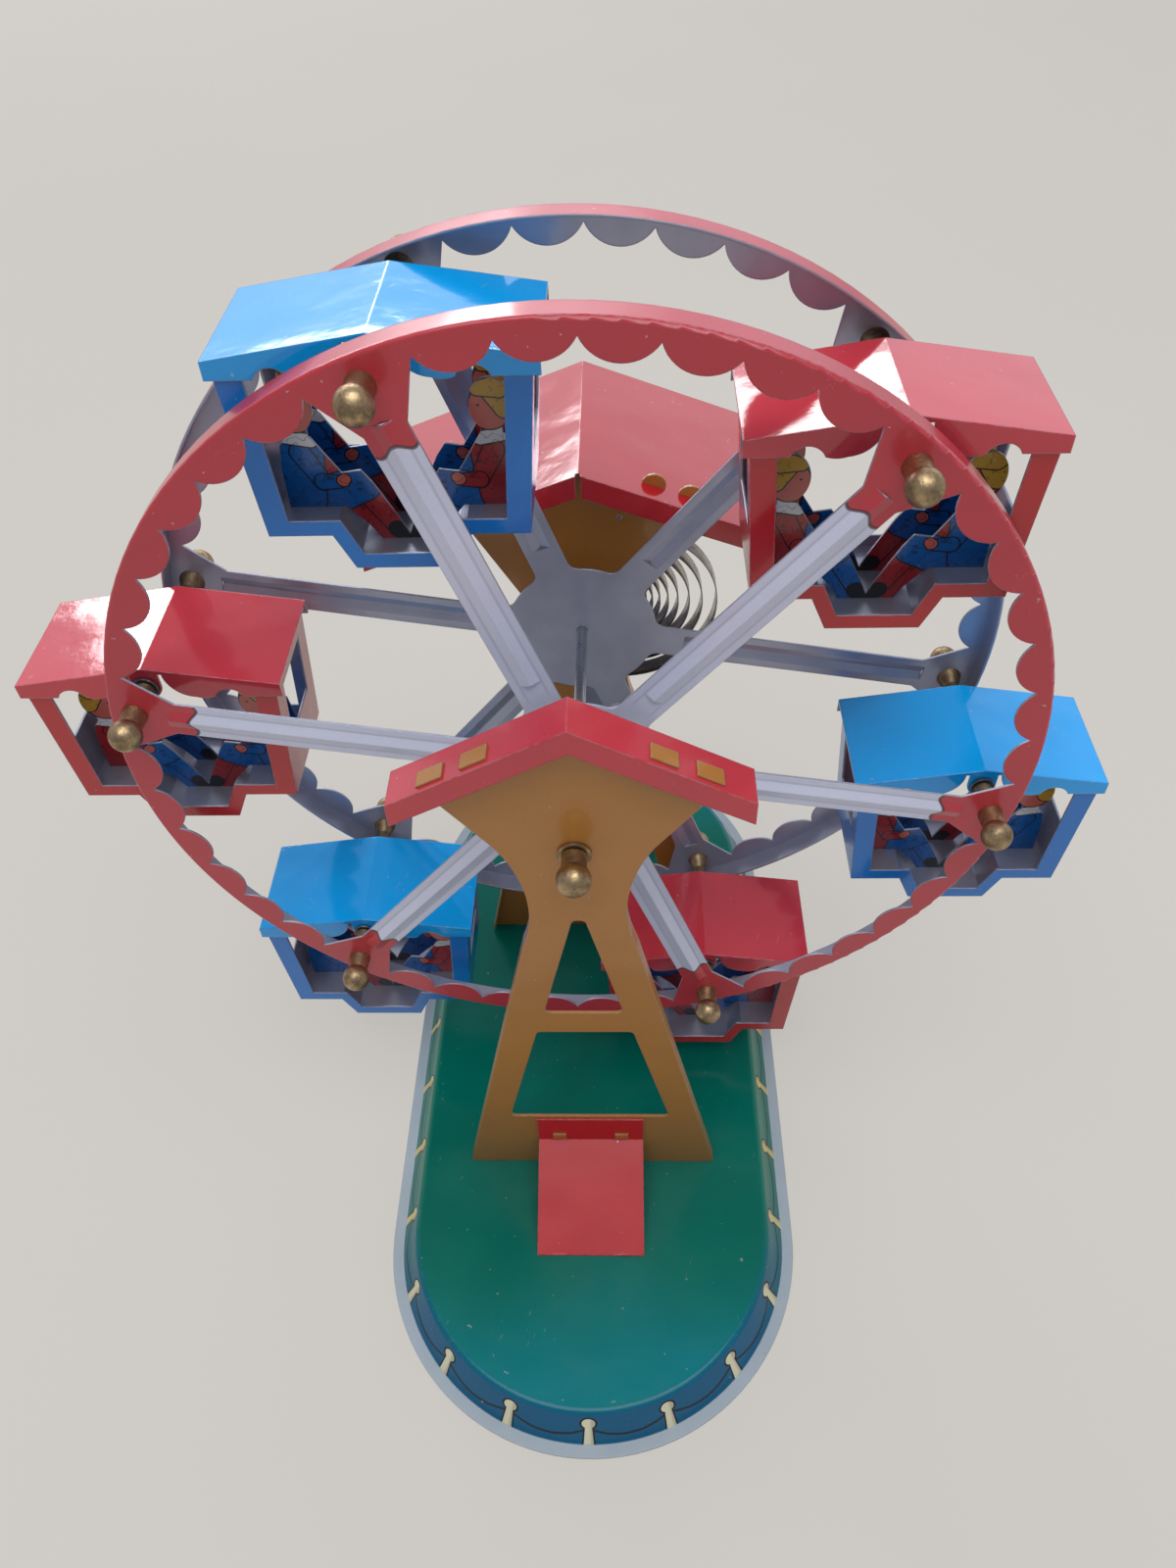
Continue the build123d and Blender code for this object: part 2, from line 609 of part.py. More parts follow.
def gable_roof(half, rise, front, back, valances):
    """Folded roof sheet, with a valance hanging from each listed edge."""
    thickness = SHEET / math.cos(math.atan(rise))
    eave = roof_height(half, rise)
    top = polygon([
        (-half, eave), (0, RIDGE_HEIGHT), (half, eave),
        (half, eave - thickness), (0, RIDGE_HEIGHT - thickness), (-half, eave - thickness),
    ])
    hanging = polygon([
        (-half, eave), (0, RIDGE_HEIGHT), (half, eave),
        (half, eave - VALANCE_HEIGHT), (0, RIDGE_HEIGHT - VALANCE_HEIGHT), (-half, eave - VALANCE_HEIGHT),
    ])
    roof = upright(top, front, back - front)
    for edge in valances:
        roof += upright(hanging, edge, SHEET)
    return roof


def front_roof():
    roof = gable_roof(FRONT_ROOF_HALF, FRONT_ROOF_RISE, FRONT_ROOF_FRONT, FRONT_ROOF_BACK, [FRONT_ROOF_FRONT])
    slot = roof_tab_stem(2 * SHEET, TAB_FIT)
    for seat in roof_tab_seats(FRONT_TOWER_Y, FRONT_ROOF_SLOPE):
        roof -= seat * slot
    return roof


def rear_roof():
    edges = [REAR_ROOF_FRONT, REAR_ROOF_BACK - SHEET]
    roof = gable_roof(REAR_ROOF_HALF, REAR_ROOF_RISE, REAR_ROOF_FRONT, REAR_ROOF_BACK, edges)
    slot = roof_tab_stem(2 * SHEET, TAB_FIT)
    for seat in roof_tab_seats(REAR_TOWER_Y, REAR_ROOF_SLOPE):
        roof -= seat * slot
    ridge_slit = Pos(0, REAR_ROOF_FRONT, RIDGE_HEIGHT) * Box(1.4, 4 * SHEET, 3 * VALANCE_HEIGHT)
    return roof - ridge_slit


# ---------------------------------------------------------------- base and ramp
def round_ended(half_width, z):
    """Face with straight sides and round ends, lying at height z."""
    slot = SlotCenterToCenter(BASE_STRAIGHT, 2 * half_width, rotation=90)
    return Pos(0, 0, z) * slot


def base_shell():
    """Pressed base: flat foot flange, sloping skirt, flat top, open underneath."""
    skirt_half = BASE_HALF_WIDTH - FOOT_FLANGE
    top_half = skirt_half - SKIRT_RUN
    outside = loft([round_ended(skirt_half, PLATE), round_ended(top_half, BASE_HEIGHT)], ruled=True)
    outside = fillet(outside.faces().sort_by(Axis.Z)[-1].edges(), BASE_EDGE_ROUND)
    inside = loft([
        round_ended(skirt_half - PLATE, 0), round_ended(top_half - PLATE, BASE_HEIGHT - PLATE)], ruled=True)
    shell = outside + extrude(round_ended(BASE_HALF_WIDTH, 0), PLATE) - inside
    feet = [
        (FRONT_TOWER_Y, TOWER_FOOT_HALF), (REAR_TOWER_Y, TOWER_FOOT_HALF), (BACK_PLATE_Y, BACK_FOOT_HALF)]
    for front, half in feet:
        for x in tower_tab_stations(half):
            shell -= Pos(x, front + PLATE / 2, BASE_HEIGHT) * Box(
                TOWER_TAB_WIDTH + TAB_FIT, PLATE + TAB_FIT, 4 * PLATE)
    for x in (-RAMP_TAB_X, RAMP_TAB_X):
        shell -= Pos(x, ramp_foot(), BASE_HEIGHT) * Box(RAMP_TAB_WIDTH + TAB_FIT, SHEET + TAB_FIT, 4 * PLATE)
    return shell


def ramp_foot():
    """Y of the tabs at the ramp's lower end."""
    return FRONT_TOWER_Y - RAMP_REACH + SHEET / 2


def ramp_tabs():
    """Two tabs of the front tower, bent down over the ramp's upper flange."""
    drop = 2.6
    front = FRONT_TOWER_Y - SHEET - 2 * RIVET_FIT
    flap = Pos(0, front - SHEET / 2, RAMP_FOLD + 4.2 - drop / 2) * Box(RAMP_TAB_WIDTH, SHEET, drop)
    neck = Pos(0, (front + FRONT_TOWER_Y) / 2, RAMP_FOLD + 4.2 - SHEET / 2) * Box(
        RAMP_TAB_WIDTH, FRONT_TOWER_Y - front + 2 * SHEET, SHEET)
    return [Pos(x, 0, 0) * (flap + neck) for x in (-RAMP_TAB_X, RAMP_TAB_X)]


def entrance_ramp():
    """Bent strip: flat on the tower at the top, sloping down to the base."""
    back = FRONT_TOWER_Y - RIVET_FIT
    front = back - SHEET
    toe = FRONT_TOWER_Y - RAMP_REACH
    rise = (RAMP_FOLD - BASE_HEIGHT) / (front - toe)
    lift = SHEET * math.hypot(1, rise)
    side = polygon([
        (back, RAMP_TOP), (front, RAMP_TOP), (front, RAMP_FOLD), (toe, BASE_HEIGHT + RIVET_FIT + lift / 2),
        (toe, BASE_HEIGHT + RIVET_FIT), (toe + SHEET, BASE_HEIGHT + RIVET_FIT), (back, RAMP_FOLD - lift),
    ])
    plane = Plane(origin=(-RAMP_HALF_WIDTH, 0, 0), x_dir=(0, 1, 0), z_dir=(1, 0, 0))
    ramp = extrude(plane * side, 2 * RAMP_HALF_WIDTH)
    for x in (-RAMP_TAB_X, RAMP_TAB_X):
        slot_z = RAMP_FOLD + 4.2 - SHEET / 2
        ramp -= Pos(x, FRONT_TOWER_Y - SHEET / 2, slot_z) * Box(
            RAMP_TAB_WIDTH + TAB_FIT, 3 * SHEET, SHEET + TAB_FIT)
        ramp += Pos(x, ramp_foot(), BASE_HEIGHT + SHEET / 2 - PLATE) * Box(
            RAMP_TAB_WIDTH, SHEET, 2 * PLATE + SHEET)
    return ramp


# ---------------------------------------------------------------- motor
def anchor_place():
    """Centre of the pillar that holds the spring's outer end, from the axle."""
    hook = PILLAR_RADIUS + SPRING_STRIP
    return (SPRING_REACH - SPRING_TAIL_RADIUS, ARBOR_Z - SPRING_TAIL_RADIUS + hook)


def pillar_places():
    return [
        anchor_place(), (LOWER_PILLAR_X, LOWER_PILLAR_Z),
        (UPPER_PILLAR_X, UPPER_PILLAR_Z), (-UPPER_PILLAR_X, UPPER_PILLAR_Z),
    ]


def motor_pillars():
    """Shouldered pillars riveted into the tower plate and the motor plate."""
    start = REAR_TOWER_Y
    end = MOTOR_PLATE_Y + PLATE
    rivet = PILLAR_RADIUS / 2
    pillar = rod(PILLAR_RADIUS, start + PLATE, end - PLATE) + rod(rivet, start, end)
    return [Pos(x, 0, AXLE_HEIGHT + z) * pillar for x, z in pillar_places()]


def motor_plate():
    height = MOTOR_PLATE_TOP + MOTOR_PLATE_BOTTOM
    middle = AXLE_HEIGHT + (MOTOR_PLATE_TOP - MOTOR_PLATE_BOTTOM) / 2
    outline = Pos(0, middle) * RectangleRounded(2 * MOTOR_PLATE_HALF, height, 3)
    outline -= Pos(ARBOR_X, AXLE_HEIGHT + ARBOR_Z) * Circle(ARBOR_RADIUS + RUN_FIT)
    for x, z in pillar_places():
        outline -= Pos(x, AXLE_HEIGHT + z) * Circle(PILLAR_RADIUS / 2 + RIVET_FIT)
    return upright(outline, MOTOR_PLATE_Y, PLATE)


def tower_bushes():
    """Flanged brass bushes: two for the wheel axle, one for the winding arbor."""
    def bush(front, bore):
        lip = BUSH_RADIUS + BUSH_LIP
        face = front - BUSH_LIP
        barrel = ring(BUSH_RADIUS - RIVET_FIT, bore + RUN_FIT, face, front + PLATE + BUSH_RIVET)
        return barrel + ring(lip, bore + RUN_FIT, face, front - RIVET_FIT)
    return [
        on_axle(bush(FRONT_TOWER_Y, AXLE_RADIUS)),
        on_axle(bush(REAR_TOWER_Y, AXLE_RADIUS)),
        on_arbor(bush(BACK_PLATE_Y, ARBOR_RADIUS)),
    ]


def gear(teeth, width, start, bore):
    """Spur gear about the origin, with one tooth centred on +X."""
    pitch_radius = GEAR_MODULE * teeth / 2
    tip = pitch_radius + 0.8 * GEAR_MODULE
    root = pitch_radius - 1.1 * GEAR_MODULE
    step = 360 / teeth
    points = []
    for tooth in range(teeth):
        middle = tooth * step
        points += [polar(root, middle - 0.32 * step), polar(tip, middle - 0.14 * step),
                   polar(tip, middle + 0.14 * step), polar(root, middle + 0.32 * step)]
    return upright(polygon(points) - Circle(bore), start, width)


def axle_pinion():
    width = GREAT_GEAR_Y + GREAT_GEAR_WIDTH - PINION_START
    return on_axle(gear(PINION_TEETH, width, PINION_START, AXLE_RADIUS + RIVET_FIT), ARBOR_ANGLE)


def great_gear():
    half_step = 180 / GREAT_GEAR_TEETH
    wheel = gear(GREAT_GEAR_TEETH, GREAT_GEAR_WIDTH, GREAT_GEAR_Y, ARBOR_RADIUS + RUN_FIT)
    stud_hole = rod(CLICK_STUD_RADIUS + RIVET_FIT, GREAT_GEAR_Y - 1, RATCHET_Y)
    return on_arbor(wheel, ARBOR_ANGLE + 180 + half_step) - on_arbor(at_click_stud(stud_hole))


def ratchet_wheel():
    step = 360 / RATCHET_TEETH
    points = []
    for tooth in range(RATCHET_TEETH):
        points += [polar(RATCHET_ROOT, tooth * step), polar(RATCHET_TIP, tooth * step + 0.05 * step),
                   polar(RATCHET_TIP, tooth * step + 0.2 * step)]
    outline = polygon(points) - Circle(ARBOR_RADIUS + RIVET_FIT)
    return on_arbor(upright(outline, RATCHET_Y, RATCHET_WIDTH), RATCHET_ANGLE)


def at_click_stud(shape):
    x, z = polar(CLICK_STUD_CIRCLE, CLICK_STUD_ANGLE)
    return Pos(x, 0, z) * shape


def click_stud():
    shank = rod(CLICK_STUD_RADIUS, GREAT_GEAR_Y, STUD_HEAD_Y)
    head = rod(2 * CLICK_STUD_RADIUS, STUD_HEAD_Y, STUD_HEAD_Y + 0.5)
    return on_arbor(at_click_stud(shank + head))


def click():
    """Hooked pawl on the great gear, its beak held just clear of the ratchet's tips."""
    beak = RATCHET_ANGLE + 4 * 360 / RATCHET_TEETH - 1.5
    stud = polar(CLICK_STUD_CIRCLE, CLICK_STUD_ANGLE)
    lever = polygon([
        polar(RATCHET_TIP + CLICK_LIFT, beak), polar(RATCHET_TIP + 0.4, beak - 9),
        polar(RATCHET_TIP + 0.5, beak - 26),
        (stud[0], stud[1] - CLICK_BOSS_RADIUS), (stud[0], stud[1] + CLICK_BOSS_RADIUS),
        polar(CLICK_STUD_CIRCLE + 0.3, beak - 26), polar(RATCHET_TIP + 1.5, beak - 9),
        polar(RATCHET_TIP + 0.9, beak),
    ])
    outline = lever + Pos(*stud) * Circle(CLICK_BOSS_RADIUS) - Pos(*stud) * Circle(CLICK_STUD_RADIUS + RUN_FIT)
    return on_arbor(upright(outline, RATCHET_Y, RATCHET_WIDTH))


def winding_arbor():
    """Stepped steel arbor from its pivot in the tower plate to the crank."""
    shoulder = REAR_TOWER_Y + PLATE + GEAR_GAP
    end = CRANK_Y + CRANK_THICKNESS + BUSH_LIP
    return on_arbor(rod(ARBOR_PIVOT_RADIUS, REAR_TOWER_Y, shoulder) + rod(ARBOR_RADIUS, shoulder, end))


def spring_stations():
    """Right and left crossings of the horizontal line through the arbor, from the axle."""
    first_right = ARBOR_X + SPRING_INNER
    growth = (SPRING_REACH - first_right - SPRING_FIRST_PITCH * SPRING_TURNS) / SPRING_TURNS ** 3
    right = [first_right + SPRING_FIRST_PITCH * n + growth * n ** 3 for n in range(SPRING_TURNS + 1)]
    seat = ARBOR_X - ARBOR_RADIUS - SPRING_STRIP / 2 - RIVET_FIT
    left = [seat - SPRING_LEFT_PITCH * n for n in range(SPRING_TURNS + 1)]
    return right, left


def spring_arcs():
    """Centre line of the strip as (centre, radius, start angle, sweep) in (x, z)."""
    right, left = spring_stations()
    arcs = []
    for turn in range(SPRING_TURNS + 1):
        upper = (right[turn] - left[turn]) / 2
        arcs.append(((left[turn] + upper, ARBOR_Z), upper, 180, -180))
        if turn < SPRING_TURNS:
            lower = (right[turn] - left[turn + 1]) / 2
            arcs.append(((right[turn] - lower, ARBOR_Z), lower, 0, -180))
    tail = SPRING_TAIL_RADIUS
    arcs.append(((SPRING_REACH - tail, ARBOR_Z), tail, 0, -90))
    hook = PILLAR_RADIUS + SPRING_STRIP
    arcs.append((anchor_place(), hook, -90, -180))
    return arcs


def spring_least_gap():
    """Least gap of the strip to itself, measured on points of its centre line."""
    points = []
    travelled = 0.0
    for (cx, cz), radius, start, bend in spring_arcs():
        steps = 36
        for step in range(steps):
            x, z = polar(radius, start + bend * step / steps)
            points.append((cx + x, cz + z, travelled + math.radians(abs(bend)) * radius * step / steps))
        travelled += math.radians(abs(bend)) * radius
    least = min(
        math.hypot(a[0] - b[0], a[1] - b[1])
        for i, a in enumerate(points) for b in points[i + 1:] if b[2] - a[2] > 2.5 * SPRING_INNER
    )
    return least - SPRING_STRIP


def mainspring():
    """Flat strip swept along the spiral, from the arbor to the anchor pillar."""
    plane = Plane(origin=(0, SPRING_FRONT + SPRING_WIDTH / 2, AXLE_HEIGHT), x_dir=(1, 0, 0), z_dir=(0, -1, 0))
    edges = []
    for (cx, cz), radius, start, bend in spring_arcs():
        stations = [
            (cx + polar(radius, start + bend * f)[0], cz + polar(radius, start + bend * f)[1])
            for f in (0, 0.5, 1)
        ]
        edges.append(plane * ThreePointArc(*stations))
    right, left = spring_stations()
    section = Plane(origin=(left[0], SPRING_FRONT + SPRING_WIDTH / 2, AXLE_HEIGHT + ARBOR_Z),
                    x_dir=(1, 0, 0), z_dir=(0, 0, 1)) * Rectangle(SPRING_STRIP, SPRING_WIDTH)
    return sweep(section, Wire(edges))


# ---------------------------------------------------------------- crank
def crank_arm():
    """Flat arm that hangs down from the arbor, with a boss at each end."""
    blade = SlotCenterToCenter(CRANK_THROW, CRANK_WIDTH, rotation=90)
    outline = Pos(0, -CRANK_THROW / 2) * blade - Circle(ARBOR_RADIUS + RIVET_FIT)
    outline -= Pos(0, -CRANK_THROW) * Circle(KNOB_PIN_RADIUS + RIVET_FIT)
    boss = ring(CRANK_BOSS_RADIUS, ARBOR_RADIUS + RIVET_FIT,
                CRANK_Y + CRANK_THICKNESS, CRANK_Y + CRANK_THICKNESS + BUSH_LIP)
    return on_arbor(upright(outline, CRANK_Y, CRANK_THICKNESS) + boss)


def knob_span():
    start = CRANK_Y + CRANK_THICKNESS + KNOB_GAP
    return start, start + KNOB_LENGTH


def crank_pin():
    start, end = knob_span()
    head = rod(1.6 * KNOB_PIN_RADIUS, end + KNOB_GAP, end + KNOB_GAP + 1)
    pin = rod(KNOB_PIN_RADIUS, CRANK_Y, end + KNOB_GAP) + head
    return on_arbor(Pos(0, 0, -CRANK_THROW) * pin)


def crank_knob():
    start, end = knob_span()
    bore = KNOB_PIN_RADIUS + RUN_FIT
    knob = turned([
        (bore, start), (0.7 * KNOB_RADIUS, start), (KNOB_RADIUS, start + 0.55 * KNOB_LENGTH),
        (KNOB_RADIUS, start + 0.8 * KNOB_LENGTH), (0.75 * KNOB_RADIUS, end), (bore, end),
    ])
    return on_arbor(Pos(0, 0, -CRANK_THROW) * knob)


# ---------------------------------------------------------------- assembly
def gondola_nodes(index):
    """Named pieces of one gondola, hung on its pins."""
    name = f"gondola_{index + 1}"
    return {
        f"{name}_body": [on_pin(gondola_body(), index)],
        f"{name}_roof": [on_pin(gondola_roof(), index)],
        f"{name}_riders": [on_pin(plate, index) for plate in gondola_riders()],
        f"{name}_washers": [on_pin(washer, index) for washer in gondola_washers()],
    }


def all_nodes():
    front = front_wheel()
    pin = gondola_pin()
    nodes = {
        "base_shell": [base_shell()],
        "front_tower": [front_tower()],
        "front_roof": [front_roof()],
        "entrance_ramp": [entrance_ramp()],
        "rear_tower": [rear_tower()],
        "tower_back_plate": [tower_back()],
        "rear_roof": [rear_roof()],
        "motor_plate": [motor_plate()],
        "motor_pillars": motor_pillars(),
        "mainspring": [mainspring()],
        "tower_bushes": tower_bushes(),
        "wheel_front": [front],
        "wheel_rear": [mirror(front, about=Plane.XZ)],
        "wheel_axle": [wheel_axle()],
        "axle_knob": [axle_knob()],
        "hub_collars": hub_collars(),
        "front_pins": [on_pin(pin, index) for index in range(GONDOLAS)],
        "rear_pins": [on_pin(mirror(pin, about=Plane.XZ), index) for index in range(GONDOLAS)],
        "axle_pinion": [axle_pinion()],
        "great_gear": [great_gear()],
        "click_stud": [click_stud()],
        "click": [click()],
        "winding_arbor": [winding_arbor()],
        "ratchet_wheel": [ratchet_wheel()],
        "crank_arm": [crank_arm()],
        "crank_pin": [crank_pin()],
        "crank_knob": [crank_knob()],
    }
    for index in range(GONDOLAS):
        nodes.update(gondola_nodes(index))
    return nodes


os.makedirs("parts", exist_ok=True)
for node_name, solids in all_nodes().items():
    shape = solids[0] if len(solids) == 1 else Compound(children=solids)
    export_step(shape, f"parts/{node_name}.step")
print(f"mainspring least gap to itself {spring_least_gap():.2f} mm")
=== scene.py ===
"""Looks, camera and light of a wind-up tin ferris wheel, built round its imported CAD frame."""

import logging
import math
from dataclasses import dataclass
from enum import Enum

import bmesh
import bpy
from mathutils import Matrix, Vector


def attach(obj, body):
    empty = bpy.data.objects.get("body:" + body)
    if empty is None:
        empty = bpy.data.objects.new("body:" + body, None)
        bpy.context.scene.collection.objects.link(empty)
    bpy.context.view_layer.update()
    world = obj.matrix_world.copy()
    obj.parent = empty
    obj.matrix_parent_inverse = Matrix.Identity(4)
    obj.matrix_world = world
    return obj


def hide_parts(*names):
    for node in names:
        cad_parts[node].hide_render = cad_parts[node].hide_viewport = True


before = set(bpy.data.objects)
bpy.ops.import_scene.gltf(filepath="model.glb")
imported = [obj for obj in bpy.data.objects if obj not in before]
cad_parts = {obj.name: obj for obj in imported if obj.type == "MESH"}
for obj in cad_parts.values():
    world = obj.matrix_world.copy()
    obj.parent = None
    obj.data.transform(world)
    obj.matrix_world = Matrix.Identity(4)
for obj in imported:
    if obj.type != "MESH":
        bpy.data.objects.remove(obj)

log = logging.getLogger("ferris_wheel")

MM = 0.001
Socket = bpy.types.NodeSocket
Value = float | tuple[float, ...] | Socket


# ---------------------------------------------------------------- shader helpers
def srgb(red: float, green: float, blue: float) -> tuple[float, float, float, float]:
    """Scene colour of a printed colour.

    Args:
        red: Red from 0 to 255, as on a screen.
        green: Green from 0 to 255.
        blue: Blue from 0 to 255.

    Returns:
        The linear colour with full alpha.
    """
    def linear(value: float) -> float:
        """Linear value of one channel."""
        part = value / 255
        return part / 12.92 if part <= 0.04045 else ((part + 0.055) / 1.055) ** 2.4

    return linear(red), linear(green), linear(blue), 1.0


class Tree:
    """Short hand for building one shader node tree."""

    def __init__(self, tree: bpy.types.NodeTree) -> None:
        """Keep the tree that the calls build in."""
        self.tree = tree

    def feed(self, socket: Socket, value: Value) -> None:
        """Link a socket, or set its own value.

        Args:
            socket: The input to feed.
            value: Another node's output, a number or a tuple.
        """
        if isinstance(value, bpy.types.NodeSocket):
            self.tree.links.new(value, socket)
        else:
            socket.default_value = value

    def node(self, kind: str, inputs: dict[str | int, Value] | None = None,
             **settings: object) -> bpy.types.Node:
        """Add a node.

        Args:
            kind: Node type name.
            inputs: Values or links by input name or number.
            **settings: Properties set on the node first.

        Returns:
            The new node.
        """
        made = self.tree.nodes.new(kind)
        for name, value in settings.items():
            setattr(made, name, value)
        for key, value in (inputs or {}).items():
            self.feed(made.inputs[key], value)
        return made

    def math(self, operation: str, *values: Value, clamp: bool = False) -> Socket:
        """Result of a Math node."""
        settings = {"operation": operation, "use_clamp": clamp}
        return self.node("ShaderNodeMath", dict(enumerate(values)), **settings).outputs[0]

    def times(self, first: Value, second: Value) -> Socket:
        """Product of two numbers."""
        return self.math("MULTIPLY", first, second)

    def vector(self, operation: str, *values: Value) -> Socket:
        """Result of a Vector Math node, its number where it gives one.

        Args:
            operation: Name of the operation.
            *values: Its inputs in order.

        Returns:
            The result.
        """
        made = self.node("ShaderNodeVectorMath", dict(enumerate(values)), operation=operation)
        number = operation in ("DOT_PRODUCT", "LENGTH", "DISTANCE")
        return made.outputs["Value" if number else "Vector"]

    def split(self, vector: Socket) -> tuple[Socket, Socket, Socket]:
        """The three parts of a vector."""
        made = self.node("ShaderNodeSeparateXYZ", {0: vector})
        return made.outputs[0], made.outputs[1], made.outputs[2]

    def join(self, x: Value, y: Value, z: Value) -> Socket:
        """Vector of three parts."""
        return self.node("ShaderNodeCombineXYZ", {0: x, 1: y, 2: z}).outputs[0]

    def step(self, value: Value, low: float, high: float) -> Socket:
        """Smooth mask that is 0 at low and 1 at high, in either order.

        Args:
            value: The number to test.
            low: Where the mask is 0.
            high: Where the mask is 1.

        Returns:
            The mask.
        """
        flipped = low > high
        made = self.node(
            "ShaderNodeMapRange",
            {"Value": value, "From Min": min(low, high), "From Max": max(low, high),
             "To Min": 1.0 if flipped else 0.0, "To Max": 0.0 if flipped else 1.0},
            interpolation_type="SMOOTHSTEP",
        )
        return made.outputs["Result"]

    def mix(self, factor: Value, first: Value, second: Value) -> Socket:
        """Mix of two colours.

        Args:
            factor: Share of the second colour.
            first: Colour at 0.
            second: Colour at 1.

        Returns:
            The mixed colour.
        """
        made = self.node("ShaderNodeMix", data_type="RGBA", blend_type="MIX", clamp_factor=True)
        colours = [s for s in made.inputs if s.type == "RGBA"]
        self.feed(made.inputs["Factor"], factor)
        self.feed(colours[0], first)
        self.feed(colours[1], second)
        return next(s for s in made.outputs if s.type == "RGBA")

    def lerp(self, factor: Value, first: Value, second: Value) -> Socket:
        """Number between two numbers.

        Args:
            factor: Share of the second number.
            first: Number at 0.
            second: Number at 1.

        Returns:
            The number.
        """
        made = self.node("ShaderNodeMix", data_type="FLOAT")
        numbers = [s for s in made.inputs if s.type == "VALUE"]
        for socket, value in zip(numbers, (factor, first, second)):
            self.feed(socket, value)
        return next(s for s in made.outputs if s.type == "VALUE")

    def noise(self, vector: Socket, scale: float, detail: float = 2.0, roughness: float = 0.5) -> Socket:
        """Value of a Noise texture.

        Args:
            vector: Place in millimetres.
            scale: Blots to a millimetre.
            detail: Finer layers.
            roughness: Strength of the finer layers.

        Returns:
            The value.
        """
        inputs = {"Vector": vector, "Scale": scale, "Detail": detail, "Roughness": roughness}
        return self.node("ShaderNodeTexNoise", inputs).outputs["Fac"]

    def places(self, centre: tuple[float, float, float] = (0.0, 0.0, 0.0)) -> Socket:
        """Object coordinates in millimetres from a point.

        Args:
            centre: The point, in millimetres.

        Returns:
            The vector.
        """
        coordinates = self.node("ShaderNodeTexCoord").outputs["Object"]
        scaled = self.node("ShaderNodeVectorMath", {0: coordinates, "Scale": 1 / MM}, operation="SCALE")
        return self.vector("SUBTRACT", scaled.outputs["Vector"], centre)

    def facing(self) -> Socket:
        """Surface direction in the piece's own axes."""
        return self.node("ShaderNodeTexCoord").outputs["Normal"]

    def group(self, tree: bpy.types.NodeTree, **inputs: Value) -> bpy.types.Node:
        """Place a node group with its own input values.

        Args:
            tree: The group.
            **inputs: Values or links by input name.

        Returns:
            The group's node.
        """
        made = self.node("ShaderNodeGroup", node_tree=tree)
        for name, value in inputs.items():
            self.feed(made.inputs[name], value)
        return made


def new_group(name: str, inputs: dict[str, tuple[str, Value]],
              outputs: dict[str, str]) -> tuple[Tree, dict[str, Socket], bpy.types.Node]:
    """Start a shader node group.

    Args:
        name: Name of the group.
        inputs: Socket type and default value by input name.
        outputs: Socket type by output name.

    Returns:
        The tree, the input sockets by name, and the output node.
    """
    tree = bpy.data.node_groups.new(name, "ShaderNodeTree")
    for label, (kind, value) in inputs.items():
        socket = tree.interface.new_socket(label, in_out="INPUT", socket_type=kind)
        socket.default_value = value
    for label, kind in outputs.items():
        tree.interface.new_socket(label, in_out="OUTPUT", socket_type=kind)
    build = Tree(tree)
    given = build.node("NodeGroupInput")
    return build, {label: given.outputs[label] for label in inputs}, build.node("NodeGroupOutput")


FLOAT, COLOUR, VECTOR = "NodeSocketFloat", "NodeSocketColor", "NodeSocketVector"


